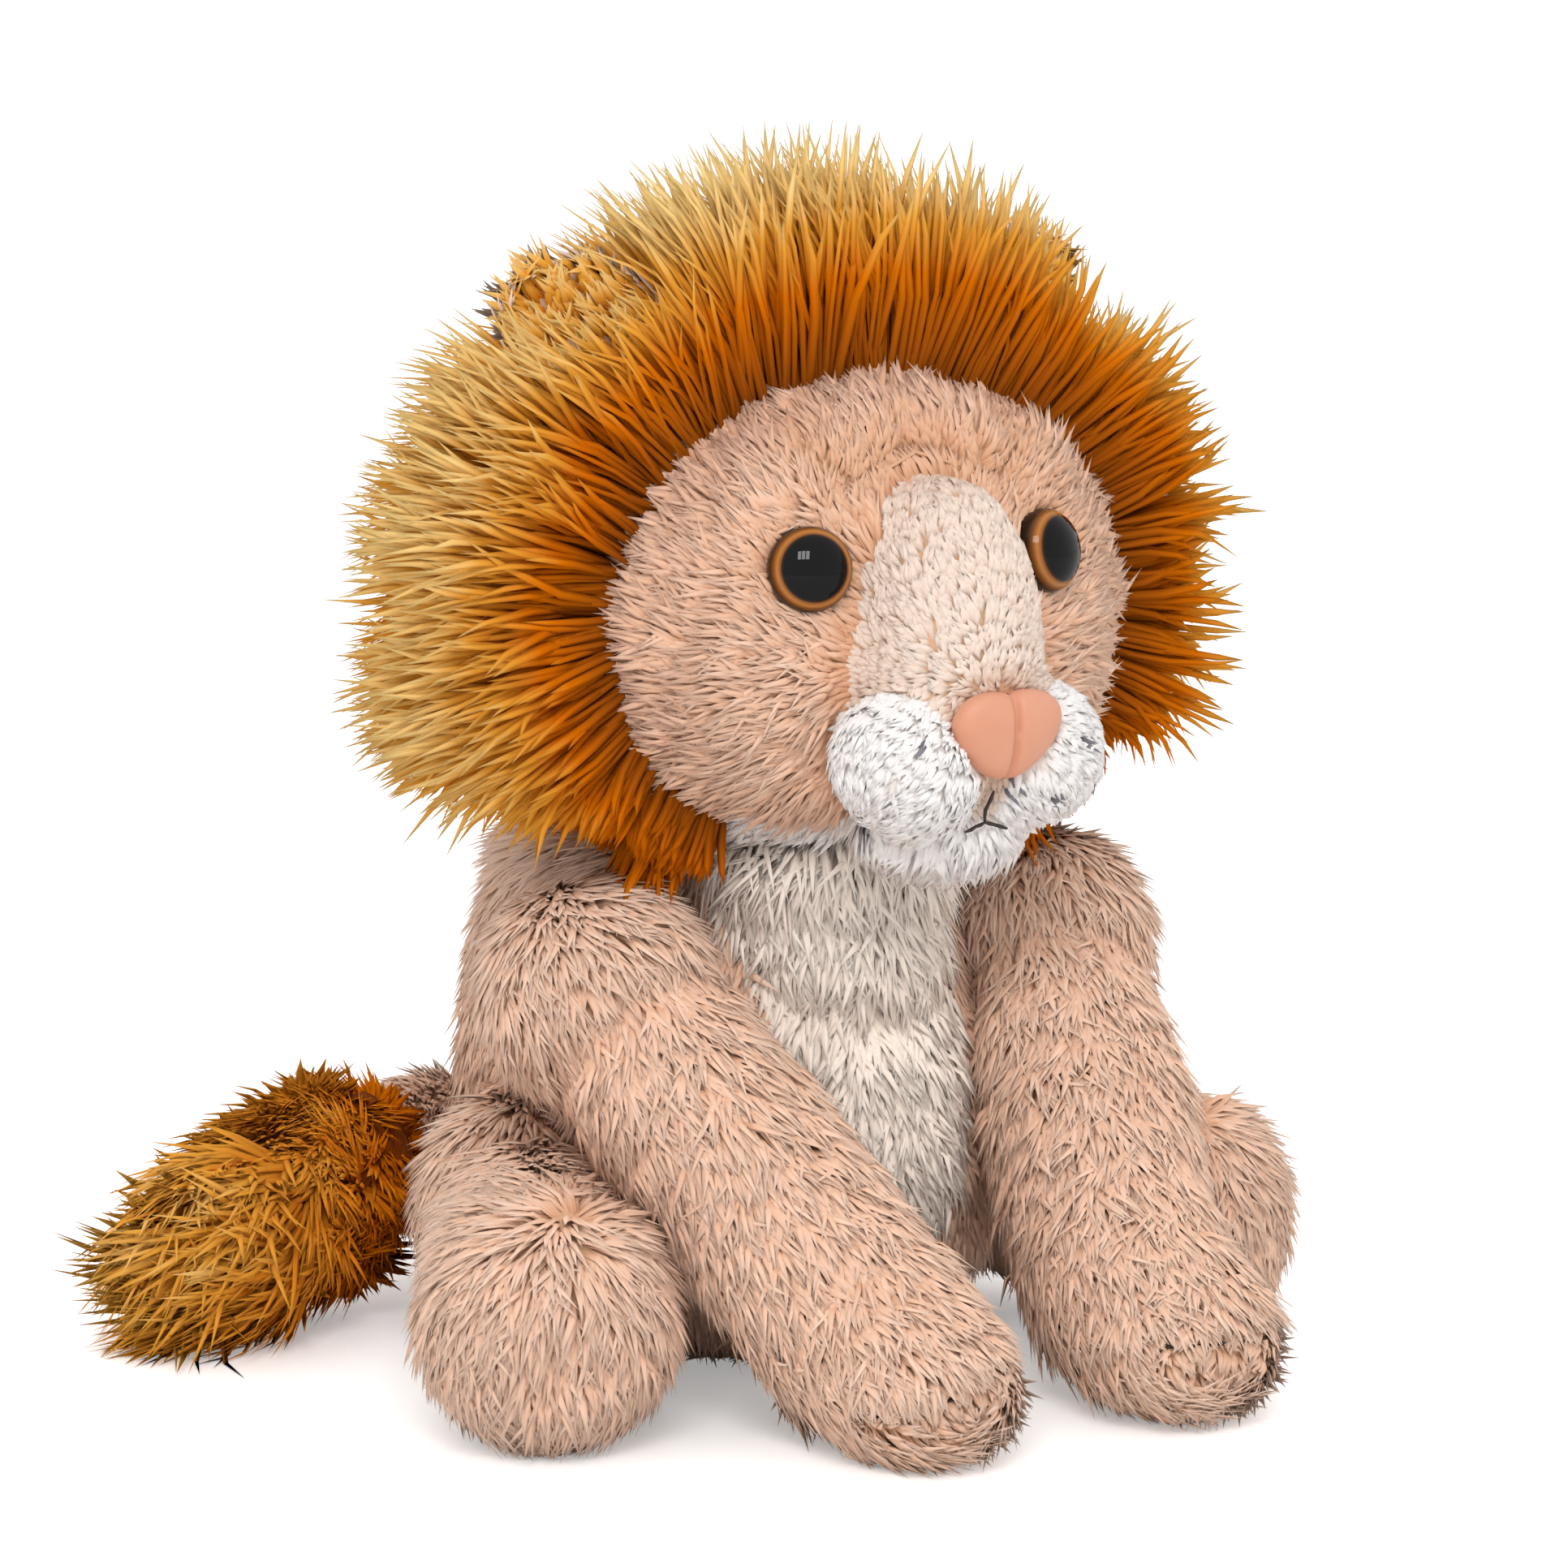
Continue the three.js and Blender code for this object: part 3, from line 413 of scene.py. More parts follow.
def scatter(mesh, spacing, seed, where=None):
    """Roots spread evenly over a cloth: many loose ones, thinned to one in each small cube."""
    rng = np.random.default_rng(seed)
    places, outs, corners = read(mesh)
    a, b, c = places[corners[:, 0]], places[corners[:, 1]], places[corners[:, 2]]
    areas = np.linalg.norm(np.cross(b - a, c - a), axis=1) / 2
    count = int(areas.sum() / spacing**2 * tries_per_root)
    pick = np.searchsorted(np.cumsum(areas) / areas.sum(), rng.random(count)).clip(0, len(areas) - 1)
    share = rng.random((count, 2))
    fold = share.sum(axis=1) > 1
    share[fold] = 1 - share[fold]
    s, t = share[:, :1], share[:, 1:]
    points = a[pick] + s * (b - a)[pick] + t * (c - a)[pick]
    ways = outs[corners[pick, 0]] * (1 - s - t) + outs[corners[pick, 1]] * s + outs[corners[pick, 2]] * t
    cells = np.floor(points / spacing).astype(np.int64)
    _, first = np.unique((cells * cell_steps).sum(axis=1), return_index=True)
    points, ways = points[first], unit(ways[first])
    if where is not None:
        chosen = where(points)
        points, ways = points[chosen], ways[chosen]
    return points, ways


drift_waves = 6
drift_height = 2.6  # about how high that many waves add up


def drift(points, size, seed):
    """A smooth wandering value from about -1 to 1, that changes over the given size."""
    rng = np.random.default_rng(seed)
    total = np.zeros(len(points))
    for _ in range(drift_waves):
        turn = unit(rng.normal(size=3))
        waves = points @ turn * (2 * math.pi / size * rng.uniform(0.7, 1.4))
        total += np.sin(waves + rng.uniform(0, 6.28))
    return total / drift_height


buried = 0.0016  # pile rooted deeper than this in another part is left out


def clear_of(points, names):
    """Which points are not buried in the named parts."""
    free = np.ones(len(points), dtype=bool)
    for name in names:
        free &= depth_in(forms[name], points) < buried
    return free


root_sunk = 0.0004  # how far a lock starts below the cloth
lock_lowest = 0.0002
turn_size = 0.009  # neighbouring locks turn, lean and bend alike over about these sizes
lean_size = 0.012
bend_size = 0.007
lean_alone = 0.09  # how far each lock leans by itself, and how far with its neighbours
lean_together = 0.08
bundle_share = 1.6  # how many tufts there are for the size of a tuft
fewest_bundles = 4


def grow(
    name,
    material,
    roots,
    outs,
    comb,
    length,
    width,
    stand,  # 0 lies flat along the comb, 1 stands straight up
    # a low tone gives a darker lock at random; on the face it is also painted shade in the brow crease,
    # round the nose, and round the eyes with their dark rims
    tone,  # each lock's place between the finish's darker and lighter dye
    seed,
    wander=0.22,  # how far the locks turn off the comb
    clump=0.0028,  # the size of the tufts whose tips draw together
    pull=0.85,
    curl=0.24,
    uneven=0.2,
    softness=0.33,  # how much the light sees the cloth's form and not the single lock
    rings=(0, 0.5),  # where along a lock its three-sided rings lie
    flat=0.5,
    swell=(0.8, 1.0),  # the width at each ring
    spacing_of=0.0008,
    dye_and_shade=None,
):
    """Sets pile into cloth: one closed tapering lock for each root, bent over along the comb."""
    rng = np.random.default_rng(seed)
    count = len(roots)
    along = unit(comb - (comb * outs).sum(axis=1, keepdims=True) * outs)
    across = np.cross(outs, along)
    turn = rng.normal(0, wander, count) + 0.7 * wander * drift(roots, turn_size, seed + 1)
    along = along * np.cos(turn)[:, None] + across * np.sin(turn)[:, None]
    across = np.cross(outs, along)
    reach = np.broadcast_to(length, count) * (1 + uneven * rng.uniform(-1, 1, count))
    leaning = lean_alone * rng.normal(size=count)
    upright = np.broadcast_to(stand, count) + leaning + lean_together * drift(roots, lean_size, seed + 2)
    upright = np.clip(upright, 0.1, 1)
    laid = np.sqrt(1 - upright**2)
    bend = curl * (0.6 * rng.normal(size=count) + 0.8 * drift(roots, bend_size, seed + 3))
    bundles = max(fewest_bundles, int(count * min(1, bundle_share * (spacing_of / clump) ** 2)))
    centres = roots[rng.choice(count, min(count, bundles), replace=False)]
    tree = KDTree(len(centres))
    for i, centre in enumerate(centres):
        tree.insert(Vector(centre), i)
    tree.balance()
    nearest = np.array([tree.find(Vector(root))[1] for root in roots])
    drawn = centres[nearest] - roots
    drawn *= np.minimum(1, clump / np.maximum(np.linalg.norm(drawn, axis=1), 1e-9))[:, None]

    def at(t):
        """Where each lock's middle line is, from its root at 0 to its tip at 1."""
        up = (upright * (1.35 * t - 0.35 * t * t))[:, None] * outs
        out = (laid * (0.45 * t + 0.55 * t * t))[:, None] * along
        side = (bend * t * t)[:, None] * across
        return roots + reach[:, None] * (up + out + side) + pull * t**1.5 * drawn

    broad = np.broadcast_to(width, count) * (1 + 0.25 * rng.uniform(-1, 1, count))
    layers, ways, unders = [], [], []
    for t, swelled in zip(rings, swell):
        middle = at(t) - (outs * root_sunk if t == 0 else 0)
        ahead = unit(at(min(1, t + 0.1)) - at(max(0, t - 0.1)))
        flatwise = unit((across * ahead).sum(axis=1, keepdims=True) * ahead - across)
        top = np.cross(flatwise, ahead)
        half = (broad * swelled / 2)[:, None]
        for corner in (flatwise * half, -flatwise * half, top * half * flat * 2):
            layers.append(middle + corner)
            ways.append(unit(unit(corner) * (1 - softness) + outs * softness))
            unders.append(unit(unit(corner) * 0.4 - top))
    layers.append(at(1.0))
    ways.append(unit(unit(at(1.0) - at(0.9)) * (1 - softness) + outs * softness))
    unders.append(unit(unit(at(1.0) - at(0.9)) * 0.4 - top))
    points = np.stack(layers, axis=1)
    points[:, :, 2] = np.maximum(points[:, :, 2], lock_lowest)

    per = 3 * len(rings) + 1
    faces, under = [(0, 2, 1)], [False]
    for r in range(len(rings) - 1):
        for i in range(3):
            a, b = 3 * r + i, 3 * r + (i + 1) % 3
            faces += [(a, b, b + 3), (a, b + 3, a + 3)]
            under += [i == 0] * 2
    last = 3 * (len(rings) - 1)
    faces += [(last + i, last + (i + 1) % 3, per - 1) for i in range(3)]
    under += [True, False, False]
    faces = np.array(faces)
    sample = points[0] - points[0].mean(axis=0)
    volume = sum(np.dot(sample[a], np.cross(sample[b], sample[c])) for a, b, c in faces)
    if volume < 0:
        faces = faces[:, ::-1]
    corners = (np.arange(count)[:, None, None] * per + faces[None]).reshape(-1)
    below = np.array(under)[None, :, None, None]
    facing = np.where(below, np.stack(unders, axis=1)[:, faces], np.stack(ways, axis=1)[:, faces])

    mesh = bpy.data.meshes.new(name)
    mesh.vertices.add(count * per)
    mesh.vertices.foreach_set("co", points.reshape(-1))
    mesh.loops.add(len(corners))
    mesh.loops.foreach_set("vertex_index", corners)
    mesh.polygons.add(len(corners) // 3)
    mesh.polygons.foreach_set("loop_start", np.arange(0, len(corners), 3))
    mesh.polygons.foreach_set("use_smooth", np.ones(len(corners) // 3, dtype=bool))
    mesh.update(calc_edges=True)
    spread = np.array([0.018, -0.018, 0.0] * len(rings) + [0.0])
    levels = [t for t in rings for _ in range(3)] + [1.0]
    # each ring's place on the colour ramps: nearer the root is darker, painted shade between the locks
    heights = [np.broadcast_to(dye_and_shade(layer, t) if dye_and_shade else t, count) for layer, t in zip(layers, levels)]
    tones = np.clip(np.broadcast_to(tone, count), 0.03, 0.97)
    uv = np.stack([tones[:, None] + spread[None], np.stack(heights, axis=1) * 0.96 + 0.02], axis=2)
    uv = uv.reshape(-1, 2)
    layer = mesh.uv_layers.new(name="OFBake")
    layer.data.foreach_set("uv", uv[corners].reshape(-1))
    turned = mesh.attributes.new("custom_normal", "FLOAT_VECTOR", "CORNER")
    turned.data.foreach_set("vector", facing.astype(np.float32).reshape(-1))
    return keep(name, mesh, material)


def pile_finish(name, dark, light, streak=0.16, roughness=0.9, split_at=None, gloss=0.03):
    """Dyed pile: its colour runs from root to tip, darker at the root as painted shade down between
    the locks, and from dark locks to light ones, finely streaked.
    """
    material, tree = blank_finish(name)
    place = add(tree, "ShaderNodeUVMap", {"uv_map": "OFBake"})
    split = add(tree, "ShaderNodeSeparateXYZ", None, {"Vector": place.outputs[0]})
    dyed = []
    # each ramp starts at the root with a darker colour, painted shade down between the locks
    for stops in (dark, light):
        ramp = add(tree, "ShaderNodeValToRGB", None, {"Fac": split.outputs["Y"]})
        marks = ramp.color_ramp.elements
        while len(marks) < len(stops):
            marks.new(0.5)
        for mark, (height, code) in zip(marks, stops):
            mark.position = height
            mark.color = linear(code)
        dyed.append(ramp.outputs["Color"])
    tone = split.outputs["X"]
    if split_at is not None:
        ends = {"From Min": split_at - 0.1, "From Max": split_at + 0.1}
        tone = add(tree, "ShaderNodeMapRange", ends, {"Value": tone}).outputs[0]
    mixed = add(tree, "ShaderNodeMix", {"data_type": "RGBA"}, {"Factor": tone})
    tree.links.new(dyed[0], mixed.inputs[colour_a])
    tree.links.new(dyed[1], mixed.inputs[colour_b])
    fineness = {"Scale": (160.0, 3.0, 1.0)}
    stretched = add(tree, "ShaderNodeMapping", fineness, {"Vector": place.outputs[0]})
    grain = add(tree, "ShaderNodeTexNoise", {"Scale": 1.0, "Detail": 2.0}, {"Vector": stretched.outputs[0]})
    ends = {"To Min": 1 - streak, "To Max": 1 + streak}
    level = add(tree, "ShaderNodeMapRange", ends, {"Value": grain.outputs["Fac"]})
    shaded = add(
        tree,
        "ShaderNodeVectorMath",
        {"operation": "SCALE"},
        {"Vector": mixed.outputs[mixed_colour], "Scale": level.outputs[0]},
    )
    paint = add(
        tree,
        "ShaderNodeBsdfPrincipled",
        {"Roughness": roughness, "Specular IOR Level": gloss},
        {"Base Color": shaded.outputs[0]},
    )
    add(tree, "ShaderNodeOutputMaterial", None, {"Surface": paint.outputs[0]})
    return material


# The darker dye gives darker locks at random; on the face it is also painted shade in the brow crease and
# round the eyes.
tan_pile = pile_finish(
    "tan_plush_pile",
    [(0.0, "#bd8765"), (0.35, "#d3a07d"), (1.0, "#e0b598")],
    [(0.0, "#dca783"), (0.35, "#eec1a4"), (1.0, "#f9dfce")],
    streak=0.1,
)
bib_pile = pile_finish(
    "bib_plush_pile",
    [(0.0, "#decfc1"), (0.45, "#efe1d4"), (1.0, "#f7ebe0")],
    [(0.0, "#eddccd"), (0.45, "#fdeee1"), (1.0, "#fff8ee")],
    streak=0.08,
)
white_pile = pile_finish(
    "white_plush_pile",
    [(0.0, "#56535a"), (0.4, "#6d6a70"), (1.0, "#98959b")],
    [(0.0, "#dad2cd"), (0.35, "#ece7e4"), (1.0, "#f6f3f1")],
    split_at=0.3,
)
# On the bridge the darker dye is painted shade: in the brow crease, round the eyes and round the nose.
pale_nap = pile_finish(
    "pale_short_nap",
    [(0.0, "#a8836a"), (0.4, "#cfb29e"), (1.0, "#e6cfbe")],
    [(0.0, "#d8bfac"), (0.4, "#e8d4c6"), (1.0, "#f2e4d9")],
)

body_spacing = 0.00078  # from root to root
lock_length = 0.0074
lock_width = 0.00095
lock_stand = 0.22
down = np.array([0, 0, -1.0])


def tones_of(count, seed, low=0.4, high=0.97):
    """A tone for each lock, mostly in the middle of its range."""
    rng = np.random.default_rng(seed)
    return low + (high - low) * np.clip(0.5 + 0.2 * rng.normal(size=count), 0, 1)


# The body. One pear of tan plush, brushed down, with a second, off-white plush set into the chest as
# a bib. Round the throat the pile is longer and stands up. The tan pile is made in three lots.
body_lowest = 0.0015
body_middle = 0.006  # seen from here, the three lots part at the angle below, on each side
lots_part_at = 1.4
collar_from = 0.068
collar_depth = 0.008
bib_form = searched("chest_bib")
body_form = searched("body_skin")
roots, outs = scatter(torso_cloth, body_spacing, 11)
free = clear_of(roots, ["head"] + list(leg_cloths))
free &= roots[:, 2] > body_lowest
roots, outs = roots[free], outs[free]
on_bib = nearest_of(roots, [body_form, bib_form]) == 1
side_of = np.digitize(np.arctan2(roots[:, 0], body_middle - roots[:, 1]), (-lots_part_at, lots_part_at))
for name, chosen, finish, slot, seed in (
    ("body_pile_right", ~on_bib & (side_of == 0), tan_pile, "plush_tan", 21),
    ("body_pile_front", ~on_bib & (side_of == 1), tan_pile, "plush_tan", 23),
    ("body_pile_left", ~on_bib & (side_of == 2), tan_pile, "plush_tan", 24),
    ("bib_pile", on_bib, bib_pile, "bib_plush", 22),
):
    spots, ways = roots[chosen], outs[chosen]
    comb = np.zeros_like(spots) + down
    comb[:, 0] += np.sign(spots[:, 0]) * 0.15
    collar = np.clip((spots[:, 2] - collar_from) / collar_depth, 0, 1)
    reach = lock_length * (1 + 0.5 * collar)
    stand = lock_stand + 0.2 * collar
    tone = tones_of(len(spots), seed)
    piece = grow(name, finish, spots, ways, comb, reach, lock_width, stand, tone, seed)
    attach(piece, "torso")

# The front legs. One stuffed tube of tan plush each, bent at the ankle, with a line of dark stitches
# across the toes, where the pile parts and is caught short.
thread_finish, tree = blank_finish("embroidery_thread")
where = add(tree, "ShaderNodeTexCoord")
twist = add(
    tree,
    "ShaderNodeTexWave",
    {"Scale": 900.0, "Distortion": 1.0, "bands_direction": "DIAGONAL"},
    {"Vector": where.outputs["Object"]},
)
bump = add(tree, "ShaderNodeBump", {"Strength": 0.5, "Distance": 0.0001}, {"Height": twist.outputs["Fac"]})
paint = add(
    tree,
    "ShaderNodeBsdfPrincipled",
    {"Base Color": linear("#33251e"), "Roughness": 0.6},
    {"Normal": bump.outputs[0]},
)
add(tree, "ShaderNodeOutputMaterial", None, {"Surface": paint.outputs[0]})
thread_radius = 0.0003
thread_sides = 8
thread_end = 0.55  # the width of the thread at its ends, and between its stitches
thread_dip = 0.8
before_all = -0.3  # a place in front of the whole toy, from which paths are laid on it


def laid_on(form, path, lift):
    """Points of a path given by its places across and up, laid on the front of a form."""
    laid = []
    for x, z in path:
        spot, out, _, _ = form.ray_cast(Vector((x, before_all, z)), Vector((0, 1, 0)))
        if spot:
            laid.append(spot + out * lift)
    return laid


def sewn(name, points, body, finish=thread_finish):
    """A thread along points: a round tube, closed at both ends, with the dip of each stitch."""
    tube = bmesh.new()
    last = None
    for i, point in enumerate(points):
        ahead = (points[min(i + 1, len(points) - 1)] - points[max(i - 1, 0)]).normalized()
        turn = Vector((0, 0, 1)).rotation_difference(ahead).to_matrix()
        pinch = thread_end if i in (0, len(points) - 1) else thread_dip + (1 - thread_dip) * (i % 2)
        made = bmesh.ops.create_circle(tube, segments=thread_sides, radius=thread_radius * pinch)
        ring = made["verts"]
        bmesh.ops.rotate(tube, cent=(0, 0, 0), matrix=turn, verts=ring)
        bmesh.ops.translate(tube, vec=point, verts=ring)
        edges = list({edge for vert in ring for edge in vert.link_edges if edge.other_vert(vert) in ring})
        if last:
            bmesh.ops.bridge_loops(tube, edges=last + edges)
        last = edges
    bmesh.ops.holes_fill(tube, edges=[edge for edge in tube.edges if edge.is_boundary])
    bmesh.ops.recalc_face_normals(tube, faces=tube.faces)
    for face in tube.faces:
        face.smooth = True
    piece = keep(name, tube, finish)
    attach(piece, body)
    return piece


def gap_to(points, path):
    """How far each point lies from a path."""
    gaps = np.full(len(points), 1.0)
    for a, b in zip(path[:-1], path[1:]):
        a, b = np.array(a), np.array(b)
        share = np.clip(((points - a) @ (b - a)) / max((b - a) @ (b - a), 1e-12), 0, 1)
        gaps = np.minimum(gaps, np.linalg.norm(points - (a + share[:, None] * (b - a)), axis=1))
    return gaps


leg_lowest = 0.0012
toe_line = {  # both ends of the stitches, across and up
    "right": ((-0.0345, 0.0085), (-0.0105, 0.0150)),
    "left": ((0.0115, 0.0135), (0.0335, 0.0125)),
}
toe_steps = 25
toe_sunk = 0.0007
toe_clear = 0.0007  # no pile is rooted nearer the thread than this
toe_reach = 0.006  # and nearer than this it is shorter
paw_top = 0.03  # where the comb of the leg begins to turn into the comb of the paw
paw_bend = 0.02
for side, hand in sides.items():
    leg = f"front_leg_{side}"
    (x0, z0), (x1, z1) = toe_line[side]
    toe_path = [(x0 + (x1 - x0) * t, z0 + (z1 - z0) * t) for t in np.linspace(0, 1, toe_steps)]
    across_toes = laid_on(forms[leg], toe_path, -toe_sunk)
    sewn(leg + "_toe_stitch", across_toes, leg)
    roots, outs = scatter(leg_cloths[leg], body_spacing, 31 + hand)
    line_gap = gap_to(roots, across_toes)
    free = clear_of(roots, ["torso"]) & (roots[:, 2] > leg_lowest) & (line_gap > toe_clear)
    roots, outs, line_gap = roots[free], outs[free], line_gap[free]
    caught = np.clip(line_gap / toe_reach, 0.38, 1)
    low = np.clip((paw_top - roots[:, 2]) / paw_bend, 0, 1)[:, None]
    leg_comb, paw_comb = np.array([-hand * 0.25, -0.45, -1.0]), np.array([-hand * 0.1, -0.9, -0.55])
    comb = leg_comb * (1 - low) + paw_comb * low
    stand = lock_stand + 0.45 * (1 - caught)
    tone = tones_of(len(roots), 33 + hand)
    reach = lock_length * caught
    piece = grow(leg + "_pile", tan_pile, roots, outs, comb, reach, lock_width, stand, tone, 35 + hand)
    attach(piece, leg)

# The hind legs. Short stuffed thighs of the same plush, each ending in a round foot, whose pile is
# brushed outward from the middle of its top.
foot_middles = {"right": np.array([-0.0625, -0.054, 0.042]), "left": np.array([0.0565, -0.044, 0.042])}
foot_radius = 0.022
for side, hand in sides.items():
    leg = f"hind_leg_{side}"
    roots, outs = scatter(leg_cloths[leg], body_spacing, 41 + hand)
    free = clear_of(roots, ["torso", f"front_leg_{side}"]) & (roots[:, 2] > leg_lowest)
    roots, outs = roots[free], outs[free]
    from_middle = roots - foot_middles[side]
    stray = np.stack([drift(roots, 0.006, 200 + k) for k in range(3)], axis=1)
    outward = unit(unit(from_middle) + 0.45 * stray)
    near = np.clip(1.6 - np.linalg.norm(from_middle, axis=1) / foot_radius, 0, 1)[:, None]
    comb = outward * 0.8 * near + np.array([hand * 0.2, -0.3, -1.0]) * (1 - 0.7 * near)
    tone = tones_of(len(roots), 43 + hand)
    piece = grow(
        leg + "_pile", tan_pile, roots, outs, comb, lock_length, lock_width, lock_stand, tone, 45 + hand
    )
    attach(piece, leg)

# The tail. A thin stuffed tube of the same plush, sewn to the rump and lying round the seat, with
# shorter pile that stands up.
tail_lowest = 0.001
tail_lock_length = 0.005
roots, outs = scatter(tail_cloth, body_spacing, 51)
free = roots[:, 2] > tail_lowest
roots, outs = roots[free], outs[free]
comb = np.zeros_like(roots) + np.array([-0.8, -0.2, -0.5])
tone = tones_of(len(roots), 52)
piece = grow("tail_pile", tan_pile, roots, outs, comb, tail_lock_length, lock_width, 0.5, tone, 53)
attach(piece, "tail")

# The face. Tan plush brushed away from the nose, with a paler, shorter nap on the bridge and white
# plush on the two pads and the jaw. It is clipped short round the eyes, the mouth and the brow crease.
# Its tone is darkened as painted shade in the brow crease and round the nose, and round the eyes,
# where it is partly their dark rims and partly painted shade.
muzzle_point = np.array([0, -0.06, 0.1])
face_names = ["head_skin", "snout_bridge", "muzzle_pad_right", "muzzle_pad_left", "chin_panel"]
face_forms = [searched(name) for name in face_names]
face_spacing = 0.00072
face_back = -0.018  # the face's pile ends under the mane here
face_edge = -0.0335
jaw_top = 0.0855
throat_top = 0.085
eye_places = [np.array([hand * 0.0205, -0.0515, 0.1198]) for hand in sides.values()]
eye_clear = 0.0064
nose_middle = 0.0975
nose_clear = (0.0065, 0.0048)  # across and up
nose_back = -0.06
crease_clear = 0.0005
in_front = np.array([1, 0, 1])  # takes a point to its place as seen from the front
roots, outs = scatter(head_cloth, face_spacing, 61, lambda points: points[:, 1] < face_back)
region = nearest_of(roots, face_forms)
jaw = (region == 0) & (roots[:, 2] < jaw_top) & (roots[:, 1] < face_front)
region[jaw] = face_names.index("chin_panel")
free = clear_of(roots, ["torso"])
for place in eye_places:
    free &= np.linalg.norm(roots - place, axis=1) > eye_clear
behind_nose = (np.abs(roots[:, 0]) < nose_clear[0]) & (np.abs(roots[:, 2] - nose_middle) < nose_clear[1])
free &= ~(behind_nose & (roots[:, 1] < nose_back))
free &= (roots[:, 1] < face_edge) | (roots[:, 2] < throat_top)
crease_flat = [(x, 0, z) for x, z, _ in brow_creases]
free &= (gap_to(roots * in_front, crease_flat) > crease_clear) | (roots[:, 1] > face_front)
roots, outs, region = roots[free], outs[free], region[free]
mouth_lines = [
    [(0, -0.0665, 0.0915), (0, -0.0655, 0.0843)],
    [(-0.008, -0.0665, 0.0812), (0, -0.0655, 0.0843)],
    [(0, -0.0655, 0.0843), (0.008, -0.0665, 0.0812)],
]
whisker_spots = [  # across and up
    (hand * x, z) for hand in (-1, 1) for x, z in ((0.0125, 0.0965), (0.0155, 0.0905), (0.008, 0.0885))
]
whisker_spot_radius = 0.0008
short_lock_width = 0.0010
tone_range = {"plush_tan": (0.15, 0.75), "nap_pale": (0.6, 0.97), "plush_white": (0.75, 0.98)}
for name, chosen, finish, slot, length, stand, seed in (
    ("face_pile", region == 0, tan_pile, "plush_tan", 0.0068, 0.28, 62),
    ("bridge_nap", region == 1, pale_nap, "nap_pale", 0.0028, 0.17, 63),
    ("muzzle_pad_right_pile", region == 2, white_pile, "plush_white", 0.0030, 0.22, 64),
    ("muzzle_pad_left_pile", region == 3, white_pile, "plush_white", 0.0030, 0.22, 65),
    ("chin_pile", region == 4, white_pile, "plush_white", 0.0048, 0.26, 66),
):
    spots, ways = roots[chosen], outs[chosen]
    comb = spots - muzzle_point + np.array([0, 0, -0.004])
    tone = tones_of(len(spots), seed, *tone_range[slot])
    crease = np.clip(gap_to(spots * in_front, crease_flat) / 0.0055, 0, 1)
    if slot != "plush_white":
        # painted shade in the brow crease: the tone darkens towards it
        tone *= crease
        # round the eyes the tone darkens: partly their dark rims, partly painted shade in the sockets
        for place in eye_places:
            tone *= np.clip((np.linalg.norm(spots - place, axis=1) - 0.0052) / 0.003, 0.2, 1)
    if slot == "nap_pale":
        # painted shade in the gap round the nose: the nap darkens near it
        tone *= np.clip((np.hypot(spots[:, 0], spots[:, 2] - nose_middle) - 0.0068) / 0.002, 0, 1)
    if slot == "plush_white":
        for x, z in whisker_spots:
            middle = spots[np.argmin(np.hypot(spots[:, 0] - x, spots[:, 2] - z) + 0.2 * spots[:, 1])]
            tone[np.linalg.norm(spots - middle, axis=1) < whisker_spot_radius] = 0.1
    close = length * (0.4 + 0.6 * crease)
    for place in eye_places:
        close *= np.clip(np.linalg.norm(spots - place, axis=1) / 0.0105, 0.45, 1)
    for path in mouth_lines:
        close *= np.clip(gap_to(spots, path) / 0.0022, 0.5, 1)
    broad = lock_width if slot == "plush_tan" or name == "chin_pile" else short_lock_width
    piece = grow(name, finish, spots, ways, comb, close, broad, stand, tone, seed)
    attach(piece, "head")

# The mouth and the brow seam. The mouth is dark embroidery, down from the nose and out to both
# sides under the pads. The brow seam is a line of tan thread at the bottom of the crease.
mouth_lift = 0.0007
mouth_top = 0.0893
mouth_fork = 0.0843
brow_steps = 8  # stitches between two points of the crease
mouth_paths = {"mouth_middle": [(0.0, mouth_top - 0.001 * i) for i in range(6)]}
for side, hand in sides.items():
    mouth_paths[f"mouth_{side}"] = [
        (hand * 0.0009 * i, mouth_fork - 0.00012 * i - 0.000012 * i * i) for i in range(5)
    ]
for name, path in mouth_paths.items():
    sewn(name, laid_on(forms["head"], path, mouth_lift), "head")
brow_path = []
for (x0, z0, _), (x1, z1, _) in zip(brow_creases[:-1], brow_creases[1:]):
    steps = [k / brow_steps for k in range(brow_steps)]
    brow_path += [(x0 + (x1 - x0) * t, z0 + (z1 - z0) * t) for t in steps]
sewn("brow_stitch", laid_on(forms["head"], brow_path, 0.0), "head", tan_cloth)

# The mane. Long fine pile, sewn to the head all round behind the face and brushed straight out. It
# is brown by the face, partly dye and partly painted shade under the face's edge, orange further out
# and golden at the edge. The thick of it is one mass, coloured the same way; the locks stand on a
# small form hidden in it and reach as far as the solid.
mane_pile = pile_finish(
    "mane_long_pile",
    [(0.0, "#502607"), (0.2, "#8a400a"), (0.45, "#b85604"), (0.72, "#cc8222"), (1.0, "#e6be74")],
    [(0.0, "#7e410e"), (0.2, "#ad5a0c"), (0.45, "#d27206"), (0.72, "#e6a340"), (1.0, "#fae2a0")],
    streak=0.3,
    roughness=0.8,
    gloss=0.0,
)


# where the colour of the mass begins and ends; on the mane its brown near the face is partly painted shade
dye_and_shade_from = 0.034  # the distances out at which the dye of the mass begins and ends
dye_and_shade_to = 0.064


